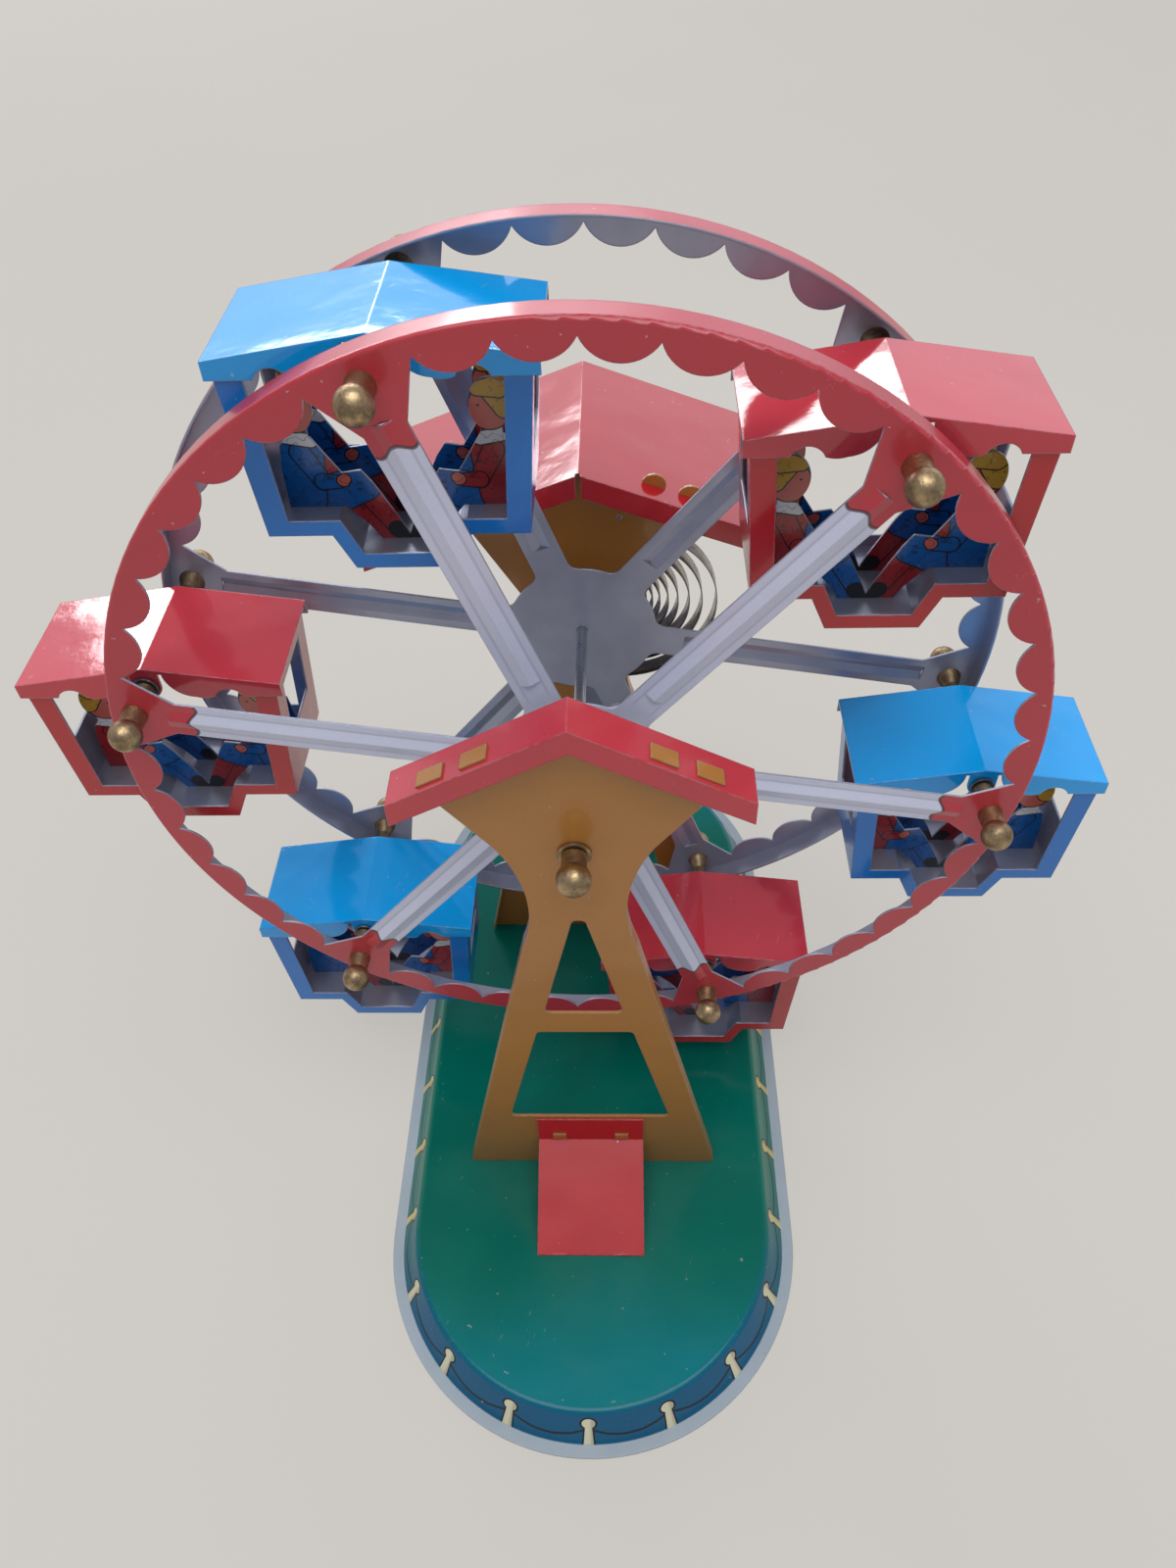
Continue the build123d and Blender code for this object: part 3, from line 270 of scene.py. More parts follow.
class Effects:
    """The node groups that several finishes share, each built once."""

    def __init__(self) -> None:
        """Build every group."""
        self.sheet = self._pressed_sheet()
        self.worn = self._worn_edges()
        self.grain = self._print_grain()
        self.outside = self._outside()
        self.limb = self._limb()
        self.tarnish = self._tarnish()

    def _pressed_sheet(self) -> bpy.types.NodeTree:
        """Height of thin tinplate: broad dents, rolling grain and fine scratches.

        Returns:
            The node group.
        """
        t, given, out = new_group(
            "pressed_sheet",
            {"Dents": (FLOAT, 1.0), "Scratches": (FLOAT, 1.0)},
            {"Height": FLOAT, "Scratch": FLOAT},
        )
        place = t.places()
        dents = t.noise(place, 0.045, 1.5)
        ripples = t.noise(place, 0.35, 2.0)
        stretched = t.vector("MULTIPLY", place, (1.0, 0.12, 1.0))
        fine = t.noise(stretched, 5.0, 3.0, 0.6)
        skew = {"Vector": place, "Axis": (0.3, 0.8, 0.5), "Angle": 0.7}
        turned = t.node("ShaderNodeVectorRotate", skew).outputs[0]
        lines = t.noise(t.vector("MULTIPLY", turned, (2.2, 0.05, 2.2)), 1.0, 1.0)
        patches = t.step(t.noise(place, 0.08, 2.0), 0.52, 0.66)
        scratch = t.times(t.times(t.step(lines, 0.735, 0.78), patches), given["Scratches"])
        broad = t.math("ADD", dents, t.times(ripples, 0.06))
        height = t.math("MULTIPLY_ADD", broad, given["Dents"], t.times(fine, 0.006))
        t.feed(out.inputs["Height"], t.math("SUBTRACT", height, t.times(scratch, 0.02)))
        t.feed(out.inputs["Scratch"], scratch)
        return t.tree

    def _worn_edges(self) -> bpy.types.NodeTree:
        """Mask of sharp edges where the print has rubbed off, and the softened surface direction.

        Returns:
            The node group.
        """
        t, given, out = new_group(
            "worn_edges", {"Radius": (FLOAT, 0.0005), "Amount": (FLOAT, 0.6)}, {"Mask": FLOAT, "Soft": VECTOR})
        bevel = t.node("ShaderNodeBevel", {"Radius": given["Radius"]}, samples=6).outputs[0]
        real = t.node("ShaderNodeNewGeometry").outputs["True Normal"]
        bend = t.math("SUBTRACT", 1.0, t.vector("DOT_PRODUCT", bevel, real))
        edge = t.step(bend, 0.03, 0.22)
        broken = t.step(t.noise(t.places(), 0.7, 3.0), 0.32, 0.6)
        t.feed(out.inputs["Mask"], t.times(t.times(edge, broken), given["Amount"]))
        t.feed(out.inputs["Soft"], bevel)
        return t.tree

    def _print_grain(self) -> bpy.types.NodeTree:
        """Lithograph grain: a fine screen, slight clouds and small nicks in a print's colour.

        Returns:
            The node group.
        """
        t, given, out = new_group(
            "print_grain",
            {"Print": (COLOUR, (0.5, 0.5, 0.5, 1)), "Clouds": (FLOAT, 0.08), "Screen": (FLOAT, 0.1)},
            {"Print": COLOUR, "Nicks": FLOAT},
        )
        place = t.places()
        clouds = t.times(t.math("SUBTRACT", t.noise(place, 0.05, 3.0), 0.5), given["Clouds"])
        screen = t.times(t.math("SUBTRACT", t.noise(place, 3.2, 2.0), 0.5), given["Screen"])
        value = t.math("ADD", 1.0, t.times(t.math("ADD", clouds, screen), 2.0))
        shaded = t.node("ShaderNodeHueSaturation", {"Color": given["Print"], "Value": value}).outputs[0]
        t.feed(out.inputs["Print"], shaded)
        t.feed(out.inputs["Nicks"], t.step(t.noise(place, 0.55, 2.0), 0.745, 0.775))
        return t.tree

    def _outside(self) -> bpy.types.NodeTree:
        """Mask of the faces that look away from a point, in millimetres.

        Returns:
            The node group.
        """
        t, given, out = new_group("outside_of", {"Centre": (VECTOR, (0, 0, 0))}, {"Mask": FLOAT})
        away = t.vector("SUBTRACT", t.places(), given["Centre"])
        t.feed(out.inputs["Mask"], t.step(t.vector("DOT_PRODUCT", away, t.facing()), -0.4, 0.4))
        return t.tree

    def _limb(self) -> bpy.types.NodeTree:
        """Distance to a rounded limb drawn between two points of the (x, z) plane.

        Returns:
            The node group.
        """
        t, given, out = new_group(
            "printed_limb",
            {"Place": (VECTOR, (0, 0, 0)), "From": (VECTOR, (0, 0, 0)), "To": (VECTOR, (0, 0, 1)),
             "Radius": (FLOAT, 1.0), "End": (FLOAT, 1.0)},
            {"Distance": FLOAT},
        )
        along = t.vector("SUBTRACT", given["To"], given["From"])
        offset = t.vector("SUBTRACT", given["Place"], given["From"])
        share = t.math(
            "DIVIDE", t.vector("DOT_PRODUCT", offset, along),
            t.math("MAXIMUM", t.vector("DOT_PRODUCT", along, along), 0.001), clamp=True)
        on_line = t.node("ShaderNodeVectorMath", {0: along, "Scale": share}, operation="SCALE").outputs["Vector"]
        length = t.vector("LENGTH", t.vector("SUBTRACT", offset, on_line))
        t.feed(out.inputs["Distance"], t.math("SUBTRACT", length, t.lerp(share, given["Radius"], given["End"])))
        return t.tree

    def _tarnish(self) -> bpy.types.NodeTree:
        """Aged metal: mottled colour and roughness between a bright and a dull state.

        Returns:
            The node group.
        """
        t, given, out = new_group(
            "tarnish",
            {"Bright": (COLOUR, (0.6, 0.5, 0.3, 1)), "Dull": (COLOUR, (0.2, 0.15, 0.1, 1)), "Age": (FLOAT, 0.5),
             "Polish": (FLOAT, 0.25)},
            {"Metal": COLOUR, "Roughness": FLOAT, "Height": FLOAT},
        )
        place = t.places()
        blotch = t.math("ADD", t.noise(place, 0.33, 4.0, 0.65), t.math("SUBTRACT", given["Age"], 0.5))
        mask = t.step(blotch, 0.3, 0.72)
        specks = t.step(t.noise(place, 2.4, 3.0, 0.7), 0.58, 0.7)
        mask = t.math("MAXIMUM", mask, t.times(specks, 0.55))
        t.feed(out.inputs["Metal"], t.mix(mask, given["Bright"], given["Dull"]))
        t.feed(out.inputs["Roughness"], t.math("MULTIPLY_ADD", mask, 0.28, given["Polish"]))
        t.feed(out.inputs["Height"], t.noise(place, 1.6, 3.0))
        return t.tree


# ---------------------------------------------------------------- finishes
class Ink(Enum):
    """Printing colours of the toy, with lighter and darker copies of some that carry painted light and shade."""

    RED = srgb(198, 32, 40)
    # Lighter, pinker copy of RED with painted sheen, for the up-facing roofs.
    LIT_RED = srgb(214, 62, 74)
    RIM_RED = srgb(196, 54, 66)
    # Lighter copy of the gondolas' blue: painted light on the up-facing roofs.
    BLUE = srgb(0, 174, 255)
    # Darker copy of the same blue: painted shade on the upright tub frames.
    SHADED_BLUE = srgb(0, 124, 214)
    OCHRE = srgb(186, 124, 52)
    LILAC = srgb(220, 222, 242)
    GREEN = srgb(0, 104, 88)
    TEAL = srgb(0, 124, 132)
    DEEP_BLUE = srgb(0, 92, 130)
    CREAM = srgb(226, 222, 190)
    YELLOW = srgb(214, 196, 110)
    SPOKE_RIB = srgb(150, 150, 172)
    HUB_GREY = srgb(206, 208, 226)
    BOUNDARY = srgb(60, 30, 40)
    # Darker ochre: painted shade at the feet of the tower legs.
    PAINTED_SHADE_OCHRE = srgb(128, 84, 36)
    LAWN_CLOUD = srgb(4, 126, 112)
    SIDE_WATER = srgb(34, 118, 96)
    FLANGE = srgb(170, 182, 190)
    POST_SHADE = srgb(120, 118, 100)
    BLACK = srgb(22, 20, 24)
    SKIN = srgb(212, 106, 92)
    HAIR = srgb(206, 160, 52)
    CURLS = srgb(96, 60, 20)
    WHITE = srgb(226, 226, 230)
    JACKET_RED = srgb(172, 42, 46)
    JACKET_BLUE = srgb(12, 98, 176)


TIN = srgb(188, 191, 207)
TIN_SHADE = srgb(160, 163, 180)
CUT_TIN = srgb(205, 205, 212)


def new_material(name: str) -> tuple[bpy.types.Material, Tree]:
    """Start an empty node material.

    Args:
        name: Name of the material.

    Returns:
        The material and its tree.
    """
    made = bpy.data.materials.new(name)
    made.use_nodes = True
    made.node_tree.nodes.clear()
    return made, Tree(made.node_tree)


@dataclass(frozen=True)
class PrintedTin:
    """Tinplate that is printed on one side and bare on the other."""

    name: str
    gloss: float = 0.2
    dents: float = 1.0
    wear: float = 0.55
    coat: float = 0.35
    shine: float = 0.5

    def print_colour(self, t: Tree) -> Socket:
        """Colour of the print; each finish draws its own."""
        raise NotImplementedError

    def printed_side(self, t: Tree) -> Value:
        """Mask of the printed side."""
        return 1.0

    def build(self, effects: Effects) -> bpy.types.Material:
        """Make the material.

        Args:
            effects: The shared node groups.

        Returns:
            The finished material.
        """
        made, t = new_material(self.name)
        sheet = t.group(effects.sheet, Dents=self.dents)
        worn = t.group(effects.worn, Amount=self.wear)
        grain = t.group(effects.grain, Print=self.print_colour(t))
        bare = t.math("SUBTRACT", 1.0, self.printed_side(t))
        rubbed = t.math("MAXIMUM", worn.outputs["Mask"], t.times(sheet.outputs["Scratch"], 0.35))
        rubbed = t.math("MAXIMUM", rubbed, t.times(grain.outputs["Nicks"], 0.5))
        tin = t.mix(t.noise(t.places(), 0.12, 3.0), TIN, TIN_SHADE)
        colour = t.mix(bare, t.mix(rubbed, grain.outputs["Print"], CUT_TIN), tin)
        metal = t.math("MAXIMUM", t.times(bare, 0.55), t.times(rubbed, 0.6))
        smudge = t.times(t.noise(t.places(), 0.09, 3.0), 0.1)
        rough = t.math("ADD", t.lerp(bare, self.gloss - 0.05, 0.3), smudge)
        bump = t.node("ShaderNodeBump", {
            "Height": sheet.outputs["Height"], "Distance": 0.0012, "Strength": 0.5,
            "Normal": worn.outputs["Soft"]})
        shader = t.node("ShaderNodeBsdfPrincipled", {
            "Base Color": colour, "Metallic": metal, "Roughness": rough, "Normal": bump.outputs[0],
            "Specular IOR Level": self.shine, "Coat Roughness": 0.08,
            "Coat Weight": t.times(t.math("SUBTRACT", 1.0, bare), self.coat)})
        t.node("ShaderNodeOutputMaterial", {"Surface": shader.outputs[0]})
        return made


@dataclass(frozen=True)
class PlainPrint(PrintedTin):
    """One ink on the side that looks away from a point."""

    ink: Ink = Ink.RED
    centre: tuple[float, float, float] = (0.0, 0.0, 0.0)
    effects: Effects | None = None

    def print_colour(self, t: Tree) -> Socket:
        """The ink, darkened a little in broad random blots."""
        shade = t.times(t.noise(t.places(), 0.03, 2.0), 0.16)
        return t.mix(shade, self.ink.value, Ink.BLACK.value)

    def printed_side(self, t: Tree) -> Value:
        """The side away from the centre."""
        return t.group(self.effects.outside, Centre=self.centre).outputs["Mask"]


@dataclass(frozen=True)
class TowerPrint(PrintedTin):
    """Ochre print on the side of a tower that faces one way, and on its turned edges."""

    toward: float = -1.0

    def print_colour(self, t: Tree) -> Socket:
        """Ochre, darker towards the feet of the legs as painted shade."""
        height = t.split(t.places())[2]
        # Painted shade: the ochre darkens towards the bottom of the legs.
        low = t.step(height, 90.0, 12.0)
        return t.mix(t.times(low, 0.45), Ink.OCHRE.value, Ink.PAINTED_SHADE_OCHRE.value)

    def printed_side(self, t: Tree) -> Value:
        """Faces that look toward the print's side, and the edges."""
        along = t.times(t.split(t.facing())[1], self.toward)
        return t.step(along, -0.6, -0.3)


@dataclass(frozen=True)
class WheelPrint(PrintedTin):
    """Red rim over lilac spokes on a disc's outer side."""

    side: float = -1.0
    axle: float = 169.0
    first_pin: float = -10.0
    boundary: float = 92.4
    rim: float = 112.0

    def _polar(self, t: Tree) -> tuple[Socket, Socket, Socket]:
        """Places about the axle.

        Args:
            t: The tree.

        Returns:
            Radius, offset across the nearest spoke, and the place from the axle.
        """
        place = t.places((0.0, 0.0, self.axle))
        x, _, z = t.split(place)
        radius = t.math("SQRT", t.math("ADD", t.times(x, x), t.times(z, z)))
        angle = t.math("ARCTAN2", z, x)
        turn = t.math("DIVIDE", t.math("SUBTRACT", angle, math.radians(self.first_pin)), math.radians(60))
        near = t.math("SUBTRACT", turn, t.math("ROUND", turn))
        return radius, t.times(t.times(near, math.radians(60)), radius), place

    def print_colour(self, t: Tree) -> Socket:
        """Rim, boundary line and spokes.

        Args:
            t: The tree.

        Returns:
            The colour.
        """
        radius, across, _ = self._polar(t)
        wave = t.times(t.math("COSINE", t.times(across, 0.95)), 0.9)
        edge = t.math("SUBTRACT", radius, t.math("ADD", wave, self.boundary))
        line = t.times(t.step(t.math("ABSOLUTE", edge), 0.55, 0.25), 0.85)
        middle = t.step(t.math("ABSOLUTE", t.math("SUBTRACT", t.math("ABSOLUTE", across), 2.7)), 0.5, 0.15)
        spoke = t.mix(t.times(middle, 0.3), Ink.LILAC.value, Ink.SPOKE_RIB.value)
        hub = t.step(radius, 27.0, 22.0)
        spoke = t.mix(hub, spoke, Ink.HUB_GREY.value)
        printed = t.mix(t.step(edge, -0.1, 0.1), spoke, Ink.RIM_RED.value)
        return t.mix(line, printed, Ink.BOUNDARY.value)

    def printed_side(self, t: Tree) -> Value:
        """The outer face, and the outside of the turned edge."""
        radius, _, place = self._polar(t)
        facing = t.facing()
        outer = t.step(t.times(t.split(facing)[1], self.side), 0.15, 0.35)
        flat = t.vector("MULTIPLY", place, (1.0, 0.0, 1.0))
        radial = t.vector("DOT_PRODUCT", t.vector("NORMALIZE", flat), facing)
        edge = t.times(t.step(radial, 0.3, 0.6), t.step(radius, self.rim - 1.2, self.rim - 0.9))
        return t.math("MAXIMUM", outer, edge)


@dataclass(frozen=True)
class BasePrint(PrintedTin):
    """Green lawn, blue water at the ends, and a rope fence round the skirt."""

    end_centre: float = 74.0
    top_half: float = 55.4
    skirt_half: float = 61.0
    posts: int = 28
    post_height: float = 7.9

    def _distance(self, t: Tree) -> tuple[Socket, Socket, Socket, Socket]:
        """Places about the base's middle line.

        Args:
            t: The tree.

        Returns:
            Distance from the middle line, place along the edge, |y| and height.
        """
        x, y, z = t.split(t.places())
        long = t.math("ABSOLUTE", y)
        past = t.math("SUBTRACT", long, self.end_centre)
        end = t.math("MAXIMUM", past, 0.0)
        distance = t.math("SQRT", t.math("ADD", t.times(x, x), t.times(end, end)))
        radius = (self.top_half + self.skirt_half) / 2
        bend = t.times(t.math("ARCTAN2", t.math("ABSOLUTE", x), end), radius)
        straight = t.math("MAXIMUM", t.times(past, -1.0), 0.0)
        along = t.times(t.math("ADD", bend, straight), t.math("SIGN", x))
        return distance, along, long, z

    def _fence(self, t: Tree, colour: Socket, along: Socket, z: Socket, side: Socket) -> Socket:
        """Posts and rope over a colour.

        Args:
            t: The tree.
            colour: Ground colour of the skirt.
            along: Place along the edge from an end's middle.
            z: Height.
            side: Mask of the long sides.

        Returns:
            The colour with the fence drawn on it.
        """
        quarter = (self.skirt_half + self.top_half) / 2 * math.pi / 2 + self.end_centre
        pitch = quarter / (self.posts / 4)
        share = t.math("DIVIDE", along, pitch)
        u = t.times(t.math("SUBTRACT", share, t.math("ROUND", share)), pitch)
        far = t.math("ABSOLUTE", u)
        hang = t.math("DIVIDE", t.math("SUBTRACT", pitch / 2, far), pitch / 2)
        rope_z = t.math("MULTIPLY_ADD", t.times(hang, hang), 2.6, 3.7)
        rope = t.step(t.math("ABSOLUTE", t.math("SUBTRACT", z, rope_z)), 0.46, 0.28)
        colour = t.mix(t.times(rope, 0.9), colour, Ink.BLACK.value)
        width = t.math("SUBTRACT", 1.55, t.times(z, 0.07))
        shaft = t.math("MAXIMUM", t.math("SUBTRACT", far, width), t.math("SUBTRACT", z, self.post_height - 0.3))
        head = t.math("SUBTRACT", t.math("SQRT", t.math(
            "ADD", t.math("POWER", t.math("DIVIDE", u, 1.3), 2.0),
            t.math("POWER", t.math("SUBTRACT", z, self.post_height), 2.0))), 1.6)
        post = t.math("MINIMUM", shaft, head)
        wood = t.mix(side, Ink.CREAM.value, Ink.YELLOW.value)
        wood = t.mix(t.times(t.step(u, 0.1, 1.1), 0.4), wood, Ink.POST_SHADE.value)
        colour = t.mix(t.step(post, 0.5, 0.34), colour, Ink.BLACK.value)
        return t.mix(t.step(post, 0.0, -0.14), colour, wood)

    def print_colour(self, t: Tree) -> Socket:
        """Top, skirt with its fence, and foot flange.

        Args:
            t: The tree.

        Returns:
            The colour.
        """
        distance, along, long, z = self._distance(t)
        wander = t.times(t.math("SUBTRACT", t.noise(t.places(), 0.02, 1.0), 0.5), 24.0)
        seaward = t.math("ADD", long, wander)
        lawn = t.mix(t.step(seaward, 84.0, 126.0), Ink.GREEN.value, Ink.TEAL.value)
        mottle = t.step(t.noise(t.places(), 0.03, 3.0), 0.35, 0.7)
        lawn = t.mix(t.times(mottle, 0.25), lawn, Ink.LAWN_CLOUD.value)
        side = t.step(t.math("ABSOLUTE", along), 55.0, 112.0)
        water = t.mix(side, Ink.DEEP_BLUE.value, Ink.SIDE_WATER.value)
        colour = t.mix(t.step(distance, self.top_half - 2.2, self.top_half + 1.2), lawn, water)
        fenced = self._fence(t, water, along, z, side)
        colour = t.mix(t.step(distance, self.top_half + 0.2, self.top_half + 0.6), colour, fenced)
        foot = t.step(distance, self.skirt_half - 0.25, self.skirt_half + 0.1)
        return t.mix(foot, colour, Ink.FLANGE.value)

    def printed_side(self, t: Tree) -> Value:
        """Everything but the hollow underneath."""
        return t.step(t.split(t.facing())[2], -0.2, -0.05)


@dataclass(frozen=True)
class RiderPrint(PrintedTin):
    """Two seated children who face each other, drawn on a flat plate."""

    pin: tuple[float, float] = (0.0, 0.0)
    red_left: bool = True
    effects: Effects | None = None

    def _limb(self, t: Tree, place: Socket, start: tuple[float, float], end: tuple[float, float],
              radius: float, tip: float) -> Socket:
        """Distance to one drawn limb.

        Args:
            t: The tree.
            place: Place on the plate.
            start: First point (x, z) from the pin.
            end: Second point.
            radius: Half width at the first point.
            tip: Half width at the second point.

        Returns:
            The distance, negative inside.
        """
        made = t.group(self.effects.limb, Place=place, From=(start[0], 0, start[1]), To=(end[0], 0, end[1]),
                       Radius=radius, End=tip)
        return made.outputs["Distance"]

    def print_colour(self, t: Tree) -> Socket:
        """Trousers, jackets, collars, hands, heads and hair with dark outlines.

        Args:
            t: The tree.

        Returns:
            The colour.
        """
        x, _, z = t.split(t.places((self.pin[0], 0.0, self.pin[1])))
        place = t.join(t.math("ABSOLUTE", x), 0.0, z)
        left = t.step(x, 0.1, -0.1)
        red_jacket = left if self.red_left else t.math("SUBTRACT", 1.0, left)
        jacket = t.mix(red_jacket, Ink.JACKET_BLUE.value, Ink.JACKET_RED.value)
        trousers = t.mix(red_jacket, Ink.JACKET_RED.value, Ink.JACKET_BLUE.value)
        folds = t.step(t.math("ABSOLUTE", t.math("SUBTRACT", t.noise(place, 0.32, 1.0), 0.5)), 0.02, 0.008)
        drawn = [
            (((8.6, -33.0), (3.0, -43.5), 3.2, 2.0), trousers),
            (((16.6, -36.0), (8.8, -33.0), 4.8, 4.2), Ink.JACKET_BLUE.value),
            (((2.6, -44.6), (0.4, -46.6), 1.9, 1.7), Ink.BLACK.value),
            (((20.6, -24.6), (21.6, -36.0), 5.0, 4.6), jacket),
            (((20.6, -25.4), (17.0, -32.4), 2.3, 2.0), jacket),
            (((17.0, -32.4), (13.6, -32.4), 1.9, 1.5), jacket),
            (((12.6, -32.2), (12.2, -31.8), 1.4, 1.2), Ink.SKIN.value),
            (((18.0, -22.6), (23.4, -21.6), 1.5, 1.5), Ink.WHITE.value),
            (((20.6, -15.6), (20.4, -16.4), 4.4, 4.2), Ink.SKIN.value),
            (((22.6, -12.2), (24.0, -15.6), 3.4, 2.6), Ink.HAIR.value),
            (((18.4, -11.6), (22.6, -11.2), 1.5, 2.4), Ink.HAIR.value),
            (((18.3, -15.2), (18.2, -15.2), 0.0, 0.0), Ink.BLACK.value),
        ]
        colour = trousers
        for (start, end, radius, tip), ink in drawn:
            distance = self._limb(t, place, start, end, radius, tip)
            colour = t.mix(t.step(distance, 0.36, 0.2), colour, Ink.BLACK.value)
            colour = t.mix(t.step(distance, 0.02, -0.12), colour, ink)
        curls = t.step(t.noise(place, 1.1, 2.0), 0.58, 0.62)
        hair = t.step(self._limb(t, place, (22.0, -11.2), (24.4, -14.6), 3.2, 3.2), 0.4, -0.2)
        colour = t.mix(t.times(t.times(curls, hair), 0.5), colour, Ink.CURLS.value)
        cloth = t.step(z, -20.5, -22.5)
        return t.mix(t.times(t.times(folds, cloth), 0.6), colour, Ink.BLACK.value)

    def printed_side(self, t: Tree) -> Value:
        """Both faces of the plate, not its cut edge."""
        return t.step(t.math("ABSOLUTE", t.split(t.facing())[1]), 0.4, 0.6)


@dataclass(frozen=True)
class AgedMetal:
    """Solid metal with mottled tarnish and a faintly uneven surface."""

    name: str
    bright: tuple[float, float, float, float]
    dull: tuple[float, float, float, float]
    age: float = 0.5
    polish: float = 0.2
    bump: float = 0.15

    def build(self, effects: Effects) -> bpy.types.Material:
        """Make the material.

        Args:
            effects: The shared node groups.

        Returns:
            The finished material.
        """
        made, t = new_material(self.name)
        aged = t.group(effects.tarnish, Bright=self.bright, Dull=self.dull, Age=self.age, Polish=self.polish)
        worn = t.group(effects.worn, Radius=0.0003, Amount=0.5)
        colour = t.mix(worn.outputs["Mask"], aged.outputs["Metal"], self.bright)
        bump = t.node("ShaderNodeBump", {
            "Height": aged.outputs["Height"], "Distance": 0.0003, "Strength": self.bump,
            "Normal": worn.outputs["Soft"]})
        shader = t.node("ShaderNodeBsdfPrincipled", {
            "Base Color": colour, "Metallic": 1.0, "Roughness": aged.outputs["Roughness"],
            "Normal": bump.outputs[0]})
        t.node("ShaderNodeOutputMaterial", {"Surface": shader.outputs[0]})
        return made


class Metal(Enum):
    """Metals of the toy."""

    BRIGHT_STEEL = AgedMetal("bright_steel", srgb(198, 200, 206), srgb(158, 159, 164), age=0.3, polish=0.2)
    ZINC = AgedMetal("zinc_plate", srgb(172, 174, 182), srgb(142, 143, 150), age=0.4, polish=0.3, bump=0.2)
    SPRING_STEEL = AgedMetal("spring_steel", srgb(150, 142, 132), srgb(84, 76, 70), age=0.4, polish=0.18,
                             bump=0.25)
    GEAR_BRASS = AgedMetal("gear_brass", srgb(206, 168, 96), srgb(128, 96, 50), age=0.4, polish=0.22)
    AGED_BRASS = AgedMetal("aged_brass", srgb(196, 170, 128), srgb(132, 112, 90), age=0.52, polish=0.3, bump=0.3)
    AXLE_STEEL = AgedMetal("axle_steel", srgb(188, 192, 198), srgb(128, 130, 134), age=0.3, polish=0.22)
    WASHER_STEEL = AgedMetal("washer_steel", srgb(168, 170, 176), srgb(96, 96, 100), age=0.5, polish=0.24)


@dataclass(frozen=True)
class GlossPlastic:
    """Moulded gloss plastic with pale scuffs."""

    name: str
    colour: tuple[float, float, float, float]
    scuffed: tuple[float, float, float, float] = srgb(226, 120, 116)

    def build(self, effects: Effects) -> bpy.types.Material:
        """Make the material.

        Args:
            effects: The shared node groups.

        Returns:
            The finished material.
        """
        made, t = new_material(self.name)
        scuff = t.step(t.noise(t.places(), 0.9, 4.0, 0.6), 0.5, 0.75)
        colour = t.mix(t.times(scuff, 0.25), self.colour, self.scuffed)
        bump = t.node("ShaderNodeBump", {
            "Height": t.noise(t.places(), 0.8, 2.0), "Distance": 0.0002, "Strength": 0.3})
        shader = t.node("ShaderNodeBsdfPrincipled", {
            "Base Color": colour, "Roughness": t.math("MULTIPLY_ADD", scuff, 0.2, 0.22),
            "Normal": bump.outputs[0], "Coat Weight": 0.3})
        t.node("ShaderNodeOutputMaterial", {"Surface": shader.outputs[0]})
        return made


# ---------------------------------------------------------------- dressing the CAD nodes
def dress(name: str, material: bpy.types.Material) -> None:
    """Give one CAD node its finish.

    Args:
        name: The node.
        material: The finish.
    """
    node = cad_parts[name]
    node.data.materials.clear()
    node.data.materials.append(material)
    log.info("dressed %s with %s", name, material.name)


def link(name: str, mesh: bmesh.types.BMesh, material: bpy.types.Material, body: str, slot: str,
         *replaced: str) -> bpy.types.Object:
    """Turn a finished bmesh into a piece that rides on a body.

    Args:
        name: Name of the piece.
        mesh: Its shape in metres, freed here.
        material: Its finish.
        body: The CAD body it rides on.
        slot: The record's material slot; not used.
        *replaced: CAD nodes that it stands for.

    Returns:
        The new object.
    """
    bmesh.ops.remove_doubles(mesh, verts=mesh.verts, dist=1e-7)
    bmesh.ops.recalc_face_normals(mesh, faces=mesh.faces)
    for face in mesh.faces:
        face.smooth = True
    data = bpy.data.meshes.new(name)
    mesh.to_mesh(data)
    mesh.free()
    data.materials.append(material)
    made = bpy.data.objects.new(name, data)
    bpy.context.scene.collection.objects.link(made)
    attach(made, body)
    if replaced:
        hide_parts(*replaced)
    log.info("made %s with %d faces on %s", name, len(data.polygons), body)
    return made


@dataclass
class Base:
    """Pressed base, entrance ramp and the two towers with their roofs."""

    effects: Effects
    under_ramp: tuple[float, float, float] = (0.0, -40.0, -20.0)
    under_front_roof: tuple[float, float, float] = (0.0, -40.0, 150.0)
    under_rear_roof: tuple[float, float, float] = (0.0, 66.6, 150.0)

    def dress(self) -> None:
        """Finish every node of the standing parts."""
        effects = self.effects
        dress("base_shell", BasePrint("base_print", gloss=0.18, coat=0.05, shine=0.26).build(effects))
        ramp = PlainPrint("ramp_print", gloss=0.4, coat=0.1, centre=self.under_ramp, effects=effects)
        dress("entrance_ramp", ramp.build(effects))
        # The front roof takes the lighter red with painted sheen.
        front_roof = PlainPrint("front_roof_print", gloss=0.26, ink=Ink.LIT_RED,
                                centre=self.under_front_roof, effects=effects)
        dress("front_roof", front_roof.build(effects))
        rear_roof = PlainPrint("rear_roof_print", gloss=0.1, centre=self.under_rear_roof, effects=effects)
        dress("rear_roof", rear_roof.build(effects))
        front = TowerPrint("tower_front_print", gloss=0.34, toward=-1.0).build(effects)
        back = TowerPrint("tower_back_print", gloss=0.34, toward=1.0).build(effects)
        dress("front_tower", front)
        dress("rear_tower", front)
        dress("tower_back_plate", back)


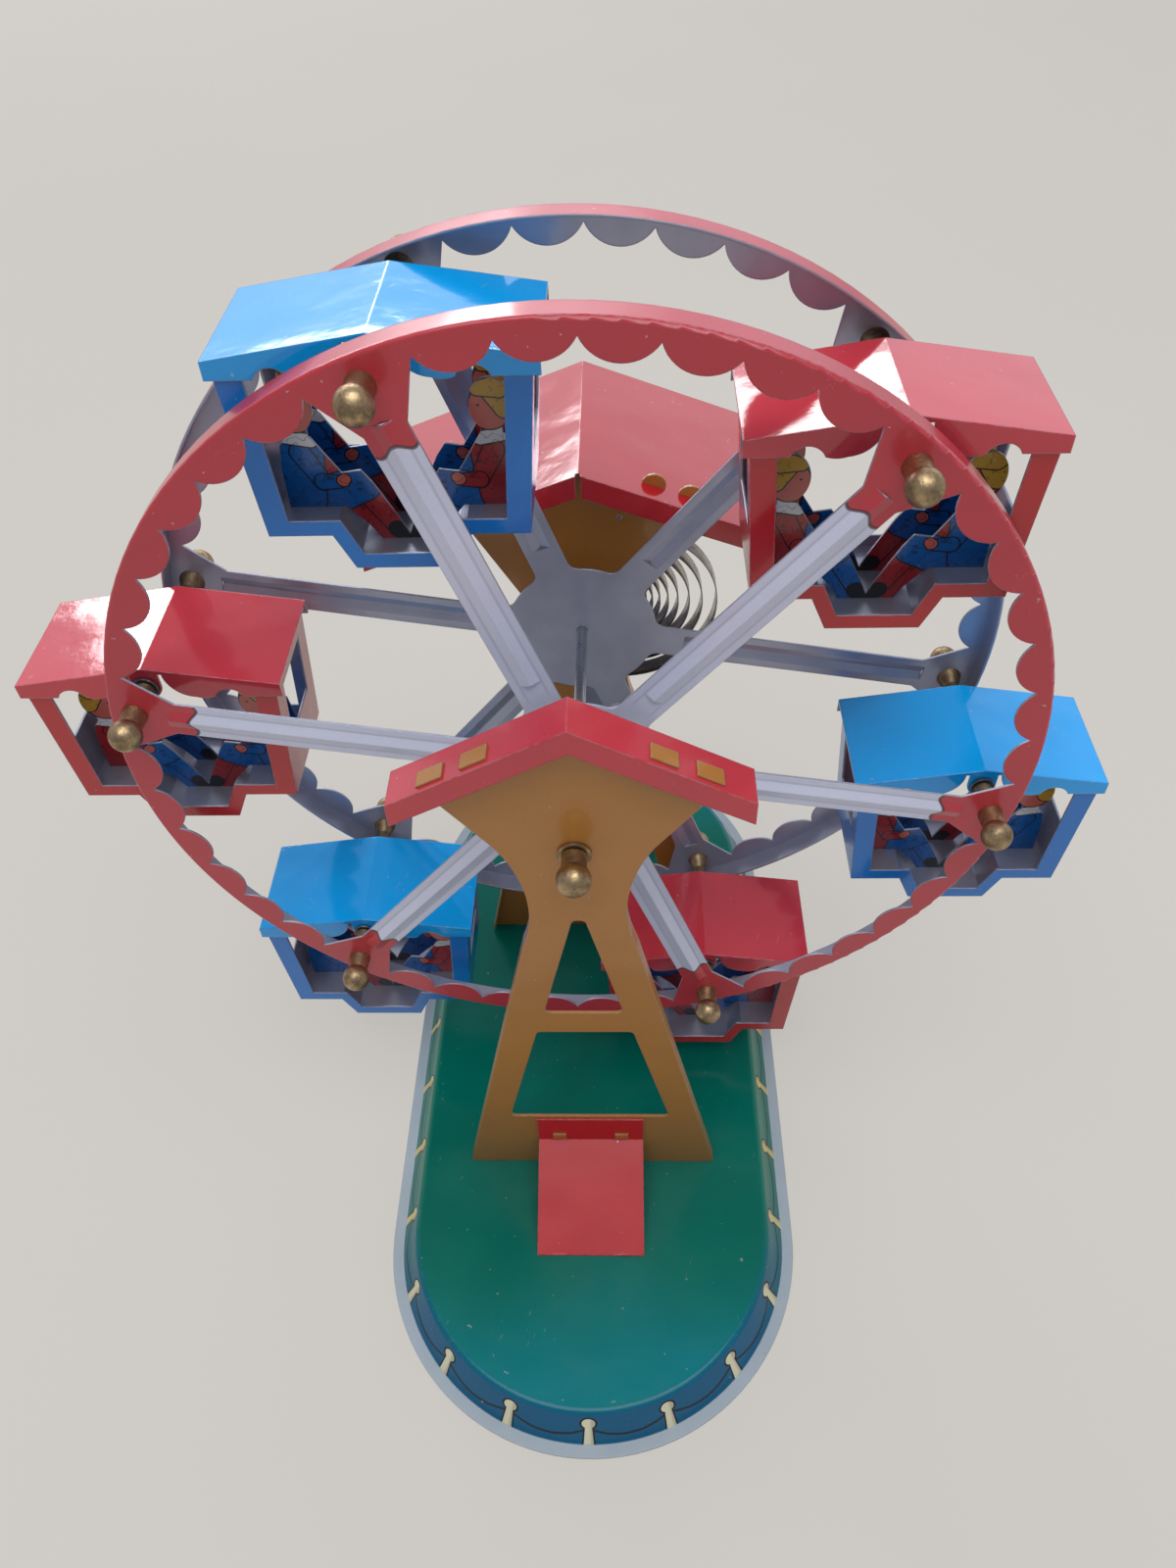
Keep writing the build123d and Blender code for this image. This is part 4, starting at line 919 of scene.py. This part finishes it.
@dataclass
class Motor:
    """Spring motor behind the rear tower, with its winder."""

    effects: Effects
    axle: float = 169.0
    arbor: tuple[float, float] = (7.5277, -7.3203)
    arbor_radius: float = 2.5
    strip: float = 0.3
    width: float = 6.0
    front: float = 47.44
    inner: float = 3.5
    turns: int = 13
    reach: float = 38.9
    first_pitch: float = 0.95
    left_pitch: float = 1.04
    seat_gap: float = 0.02
    tail_radius: float = 28.0
    pillar_radius: float = 1.5
    strip_round: float = 0.1
    other_pillars: tuple[tuple[float, float], ...] = ((-9.0, -30.0), (10.5, 26.0), (-10.5, 26.0))
    rivet_radius: float = 1.35
    rivet_plane: float = 56.3

    def _hook(self) -> tuple[tuple[float, float], float]:
        """Centre of the pillar that holds the spring's outer end, and the bend round it.

        Returns:
            The centre (x, z) from the axle, and the bend's radius.
        """
        bend = self.pillar_radius + self.strip
        return (self.reach - self.tail_radius, self.arbor[1] - self.tail_radius + bend), bend

    def _arcs(self) -> list[tuple[tuple[float, float], float, float, float]]:
        """Centre line of the strip.

        Returns:
            Centre, radius, start angle and bend of each arc, from the axle, in degrees.
        """
        x, z = self.arbor
        first = x + self.inner
        growth = (self.reach - first - self.first_pitch * self.turns) / self.turns ** 3
        seat = x - self.arbor_radius - self.strip / 2 - self.seat_gap
        right = [first + self.first_pitch * n + growth * n ** 3 for n in range(self.turns + 1)]
        left = [seat - self.left_pitch * n for n in range(self.turns + 1)]
        arcs = []
        for turn in range(self.turns + 1):
            upper = (right[turn] - left[turn]) / 2
            arcs.append(((left[turn] + upper, z), upper, 180.0, -180.0))
            if turn < self.turns:
                lower = (right[turn] - left[turn + 1]) / 2
                arcs.append(((right[turn] - lower, z), lower, 0.0, -180.0))
        pillar, bend = self._hook()
        arcs.append(((self.reach - self.tail_radius, z), self.tail_radius, 0.0, -90.0))
        arcs.append((pillar, bend, -90.0, -180.0))
        return arcs

    def mainspring(self, material: bpy.types.Material) -> bpy.types.Object:
        """Flat strip wound from the arbor out to its pillar.

        Args:
            material: Finish of the strip.

        Returns:
            The piece, which stands for the CAD spring.
        """
        bm = bmesh.new()
        arcs = self._arcs()
        (cx, cz), radius, _, _ = arcs[0]
        section = bmesh.ops.create_grid(bm, x_segments=1, y_segments=1, size=0.5)
        bmesh.ops.scale(bm, verts=section["verts"], vec=(self.strip * MM, self.width * MM, 1.0))
        bmesh.ops.translate(bm, verts=section["verts"], vec=Vector(
            ((cx - radius) * MM, (self.front + self.width / 2) * MM, (self.axle + cz) * MM)))
        edges = list(bm.edges)
        for (cx, cz), radius, _, bend in arcs:
            steps = max(10, round(abs(bend) / 180 * (14 + radius * 0.9)))
            swept = bmesh.ops.spin(
                bm, geom=edges, cent=Vector((cx, 0.0, self.axle + cz)) * MM, axis=Vector((0.0, 1.0, 0.0)),
                angle=math.radians(-bend), steps=steps, use_merge=False, use_duplicate=False)
            edges = [item for item in swept["geom_last"] if isinstance(item, bmesh.types.BMEdge)]
        bmesh.ops.contextual_create(bm, geom=edges)
        made = link("wound_mainspring", bm, material, "base", "spring_steel", "mainspring")
        rounded = made.modifiers.new("strip_edges", "BEVEL")
        rounded.width, rounded.segments = self.strip_round * MM, 2
        rounded.limit_method, rounded.angle_limit = "ANGLE", math.radians(60)
        return made

    def rivet_heads(self, material: bpy.types.Material) -> bpy.types.Object:
        """Peened rivet heads of the pillars on the motor plate.

        Args:
            material: Finish of the rivets.

        Returns:
            The piece.
        """
        bm = bmesh.new()
        for x, z in (self._hook()[0], *self.other_pillars):
            dome = bmesh.ops.create_uvsphere(bm, u_segments=20, v_segments=10, radius=self.rivet_radius * MM)
            bmesh.ops.scale(bm, verts=dome["verts"], vec=(1.0, 0.55, 1.0))
            bmesh.ops.translate(bm, verts=dome["verts"], vec=Vector((x, self.rivet_plane, self.axle + z)) * MM)
        return link("motor_rivets", bm, material, "base", "bright_steel")

    def dress(self) -> None:
        """Finish the nodes of the motor and the winder, and add its new pieces."""
        steel = Metal.BRIGHT_STEEL.value.build(self.effects)
        plate = Metal.ZINC.value.build(self.effects)
        brass = Metal.GEAR_BRASS.value.build(self.effects)
        dress("motor_plate", plate)
        for name in ("motor_pillars", "ratchet_wheel", "click", "click_stud", "winding_arbor", "crank_arm",
                     "crank_pin"):
            dress(name, steel)
        for name in ("great_gear", "axle_pinion"):
            dress(name, brass)
        dress("crank_knob", GlossPlastic("knob_plastic", srgb(190, 28, 32)).build(self.effects))
        self.mainspring(Metal.SPRING_STEEL.value.build(self.effects))
        self.rivet_heads(steel)


@dataclass
class Wheel:
    """The two discs with their axle, collars and gondola pins."""

    effects: Effects

    def dress(self) -> None:
        """Finish the nodes of the wheel."""
        dress("wheel_front", WheelPrint("front_wheel_print", gloss=0.3, side=-1.0).build(self.effects))
        dress("wheel_rear", WheelPrint("rear_wheel_print", gloss=0.3, side=1.0).build(self.effects))
        brass = Metal.AGED_BRASS.value.build(self.effects)
        for name in ("axle_knob", "hub_collars", "front_pins", "rear_pins", "tower_bushes"):
            dress(name, brass)
        dress("wheel_axle", Metal.AXLE_STEEL.value.build(self.effects))


@dataclass
class Gondola:
    """One gondola: tub, canopy, printed riders and washers."""

    effects: Effects
    index: int
    ink: Ink
    red_left: bool
    axle: float = 169.0
    pin_circle: float = 106.0
    first_pin: float = -10.0
    tub_drop: float = 20.0
    roof_drop: float = 16.0

    def pin(self) -> tuple[float, float]:
        """Place (x, z) of the gondola's pins, in millimetres."""
        angle = math.radians(self.first_pin + 60 * self.index)
        return self.pin_circle * math.cos(angle), self.axle + self.pin_circle * math.sin(angle)

    def dress(self, washer: bpy.types.Material) -> None:
        """Finish the gondola's nodes.

        Args:
            washer: Finish of the washers.
        """
        x, z = self.pin()
        name = f"gondola_{self.index + 1}"
        effects = self.effects
        # Roof and tub share one ink: the roof takes the lighter copy as painted light, a blue tub the darker copy
        # as painted shade, a red tub plain red.
        tub_ink = Ink.SHADED_BLUE if self.ink is Ink.BLUE else Ink.RED
        body = PlainPrint(f"{name}_body_print", gloss=0.24, ink=tub_ink, centre=(x, 0.0, z - self.tub_drop),
                          effects=effects)
        roof = PlainPrint(f"{name}_roof_print", gloss=0.08, dents=0.9, ink=self.ink,
                          centre=(x, 0.0, z - self.roof_drop), effects=effects)
        riders = RiderPrint(f"{name}_rider_print", gloss=0.3, pin=(x, z), red_left=self.red_left, effects=effects)
        dress(f"{name}_body", body.build(effects))
        dress(f"{name}_roof", roof.build(effects))
        dress(f"{name}_riders", riders.build(effects))
        dress(f"{name}_washers", washer)


@dataclass(frozen=True)
class Lamp:
    """Soft rectangular light that looks at the wheel: degrees from straight behind the toy and above
    the horizon, metres from the axle, width and height, and brightness of its face, where 1 is white."""

    name: str
    azimuth: float
    elevation: float
    distance: float
    size: tuple[float, float]
    radiance: float


@dataclass
class Studio:
    """Floor, light and the camera at the photograph's viewing angle."""

    place: tuple[float, float, float] = (11.957, -221.164, 367.430)
    yaw: float = -0.04908
    pitch: float = 0.81052
    roll: float = -0.04196
    focal_pixels: float = 1155.36
    picture: tuple[int, int] = (1200, 1600)
    axle: float = 0.169
    sky: float = 0.38
    lamps: tuple[Lamp, ...] = (
        Lamp("rear_window", -25.0, 25.4, 3.0, (1.55, 0.42), 10.0),
        Lamp("side_window", 1.0, 31.6, 3.0, (0.7, 0.3), 8.0),
        Lamp("top_softbox", 176.0, 76.0, 1.6, (1.5, 1.2), 2.8),
    )

    def camera(self) -> bpy.types.Object:
        """Camera fitted to the photograph.

        Returns:
            The camera.
        """
        forward = Vector((math.sin(self.yaw) * math.cos(self.pitch), math.cos(self.yaw) * math.cos(self.pitch),
                          -math.sin(self.pitch)))
        level = Vector((math.cos(self.yaw), -math.sin(self.yaw), 0.0))
        up = level.cross(forward)
        right = math.cos(self.roll) * level + math.sin(self.roll) * up
        above = -math.sin(self.roll) * level + math.cos(self.roll) * up
        data = bpy.data.cameras.new("photo_camera")
        data.sensor_width = 36.0
        data.lens = self.focal_pixels * data.sensor_width / max(self.picture)
        data.clip_start, data.clip_end = 0.01, 50.0
        made = bpy.data.objects.new("photo_camera", data)
        turn = Matrix((right, above, -forward)).transposed().to_4x4()
        made.matrix_world = Matrix.Translation(Vector(self.place) * MM) @ turn
        bpy.context.scene.collection.objects.link(made)
        bpy.context.scene.camera = made
        return made

    def floor(self) -> bpy.types.Object:
        """Plain pale floor that keeps the toy's shadow.

        Returns:
            The floor.
        """
        bm = bmesh.new()
        bmesh.ops.create_grid(bm, x_segments=1, y_segments=1, size=6.0)
        data = bpy.data.meshes.new("floor")
        bm.to_mesh(data)
        bm.free()
        made, t = new_material("pale_floor")
        tone = t.mix(t.noise(t.places(), 0.004, 2.0), srgb(206, 202, 196), srgb(200, 196, 189))
        light = t.node("ShaderNodeLightPath")
        seen = t.math("MAXIMUM", light.outputs["Is Camera Ray"], light.outputs["Is Glossy Ray"])
        seen = t.math("MAXIMUM", seen, light.outputs["Is Transmission Ray"])
        lit = t.node("ShaderNodeBsdfDiffuse", {"Color": tone})
        plain = t.node("ShaderNodeEmission", {"Color": srgb(214, 210, 203), "Strength": 1.0})
        share = t.times(seen, 0.62)
        shown = t.node("ShaderNodeMixShader", {0: share, 1: lit.outputs[0], 2: plain.outputs[0]})
        t.node("ShaderNodeOutputMaterial", {"Surface": shown.outputs[0]})
        data.materials.append(made)
        plane = bpy.data.objects.new("floor", data)
        bpy.context.scene.collection.objects.link(plane)
        return plane

    def window(self, lamp: Lamp) -> bpy.types.Object:
        """Hang one lamp.

        Args:
            lamp: Its place, size and brightness.

        Returns:
            The light.
        """
        data = bpy.data.lights.new(lamp.name, "AREA")
        data.shape = "RECTANGLE"
        data.size, data.size_y = lamp.size
        data.energy = lamp.radiance * math.pi * lamp.size[0] * lamp.size[1]
        a, e = math.radians(lamp.azimuth), math.radians(lamp.elevation)
        away = Vector((math.sin(a) * math.cos(e), math.cos(a) * math.cos(e), math.sin(e)))
        made = bpy.data.objects.new(lamp.name, data)
        made.location = Vector((0.0, 0.0, self.axle)) + away * lamp.distance
        made.rotation_euler = away.to_track_quat("Z", "Y").to_euler()
        bpy.context.scene.collection.objects.link(made)
        return made

    def world(self) -> None:
        """Even sky, brighter in a low band behind the toy."""
        made = bpy.data.worlds.new("studio")
        made.use_nodes = True
        made.node_tree.nodes.clear()
        t = Tree(made.node_tree)
        direction = t.node("ShaderNodeTexCoord").outputs["Generated"]
        _, y, z = t.split(direction)
        lift = t.times(t.step(z, -0.05, 0.3), t.step(y, -0.25, 0.85))
        lift = t.times(lift, t.step(z, 0.72, 0.42))
        level = t.times(t.math("MULTIPLY_ADD", lift, 2.3, 1.0), self.sky)
        shown = t.node("ShaderNodeBackground", {"Color": srgb(238, 243, 255), "Strength": level})
        t.node("ShaderNodeOutputWorld", {"Surface": shown.outputs[0]})
        bpy.context.scene.world = made

    def build(self) -> None:
        """Set up camera, floor and light."""
        self.camera()
        self.floor()
        self.world()
        for lamp in self.lamps:
            self.window(lamp)
        bpy.context.scene.view_settings.view_transform = "Standard"


# Roof ink of each gondola, these being the lighter copies with painted light, and whether the red jacket sits on
# the left.
TRAIN = (
    (Ink.BLUE, True), (Ink.LIT_RED, True), (Ink.BLUE, False),
    (Ink.LIT_RED, True), (Ink.BLUE, False), (Ink.LIT_RED, False),
)


def main() -> None:
    """Build the dressed toy in order."""
    logging.basicConfig(level=logging.INFO, format="%(name)s: %(message)s")
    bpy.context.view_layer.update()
    Studio().build()
    effects = Effects()
    Base(effects).dress()
    Wheel(effects).dress()
    Motor(effects).dress()
    washer = Metal.WASHER_STEEL.value.build(effects)
    for index, (ink, red_left) in enumerate(TRAIN):
        Gondola(effects, index, ink, red_left).dress(washer)
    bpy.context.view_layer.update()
    bpy.context.view_layer.update()


if __name__ == "__main__":
    main()
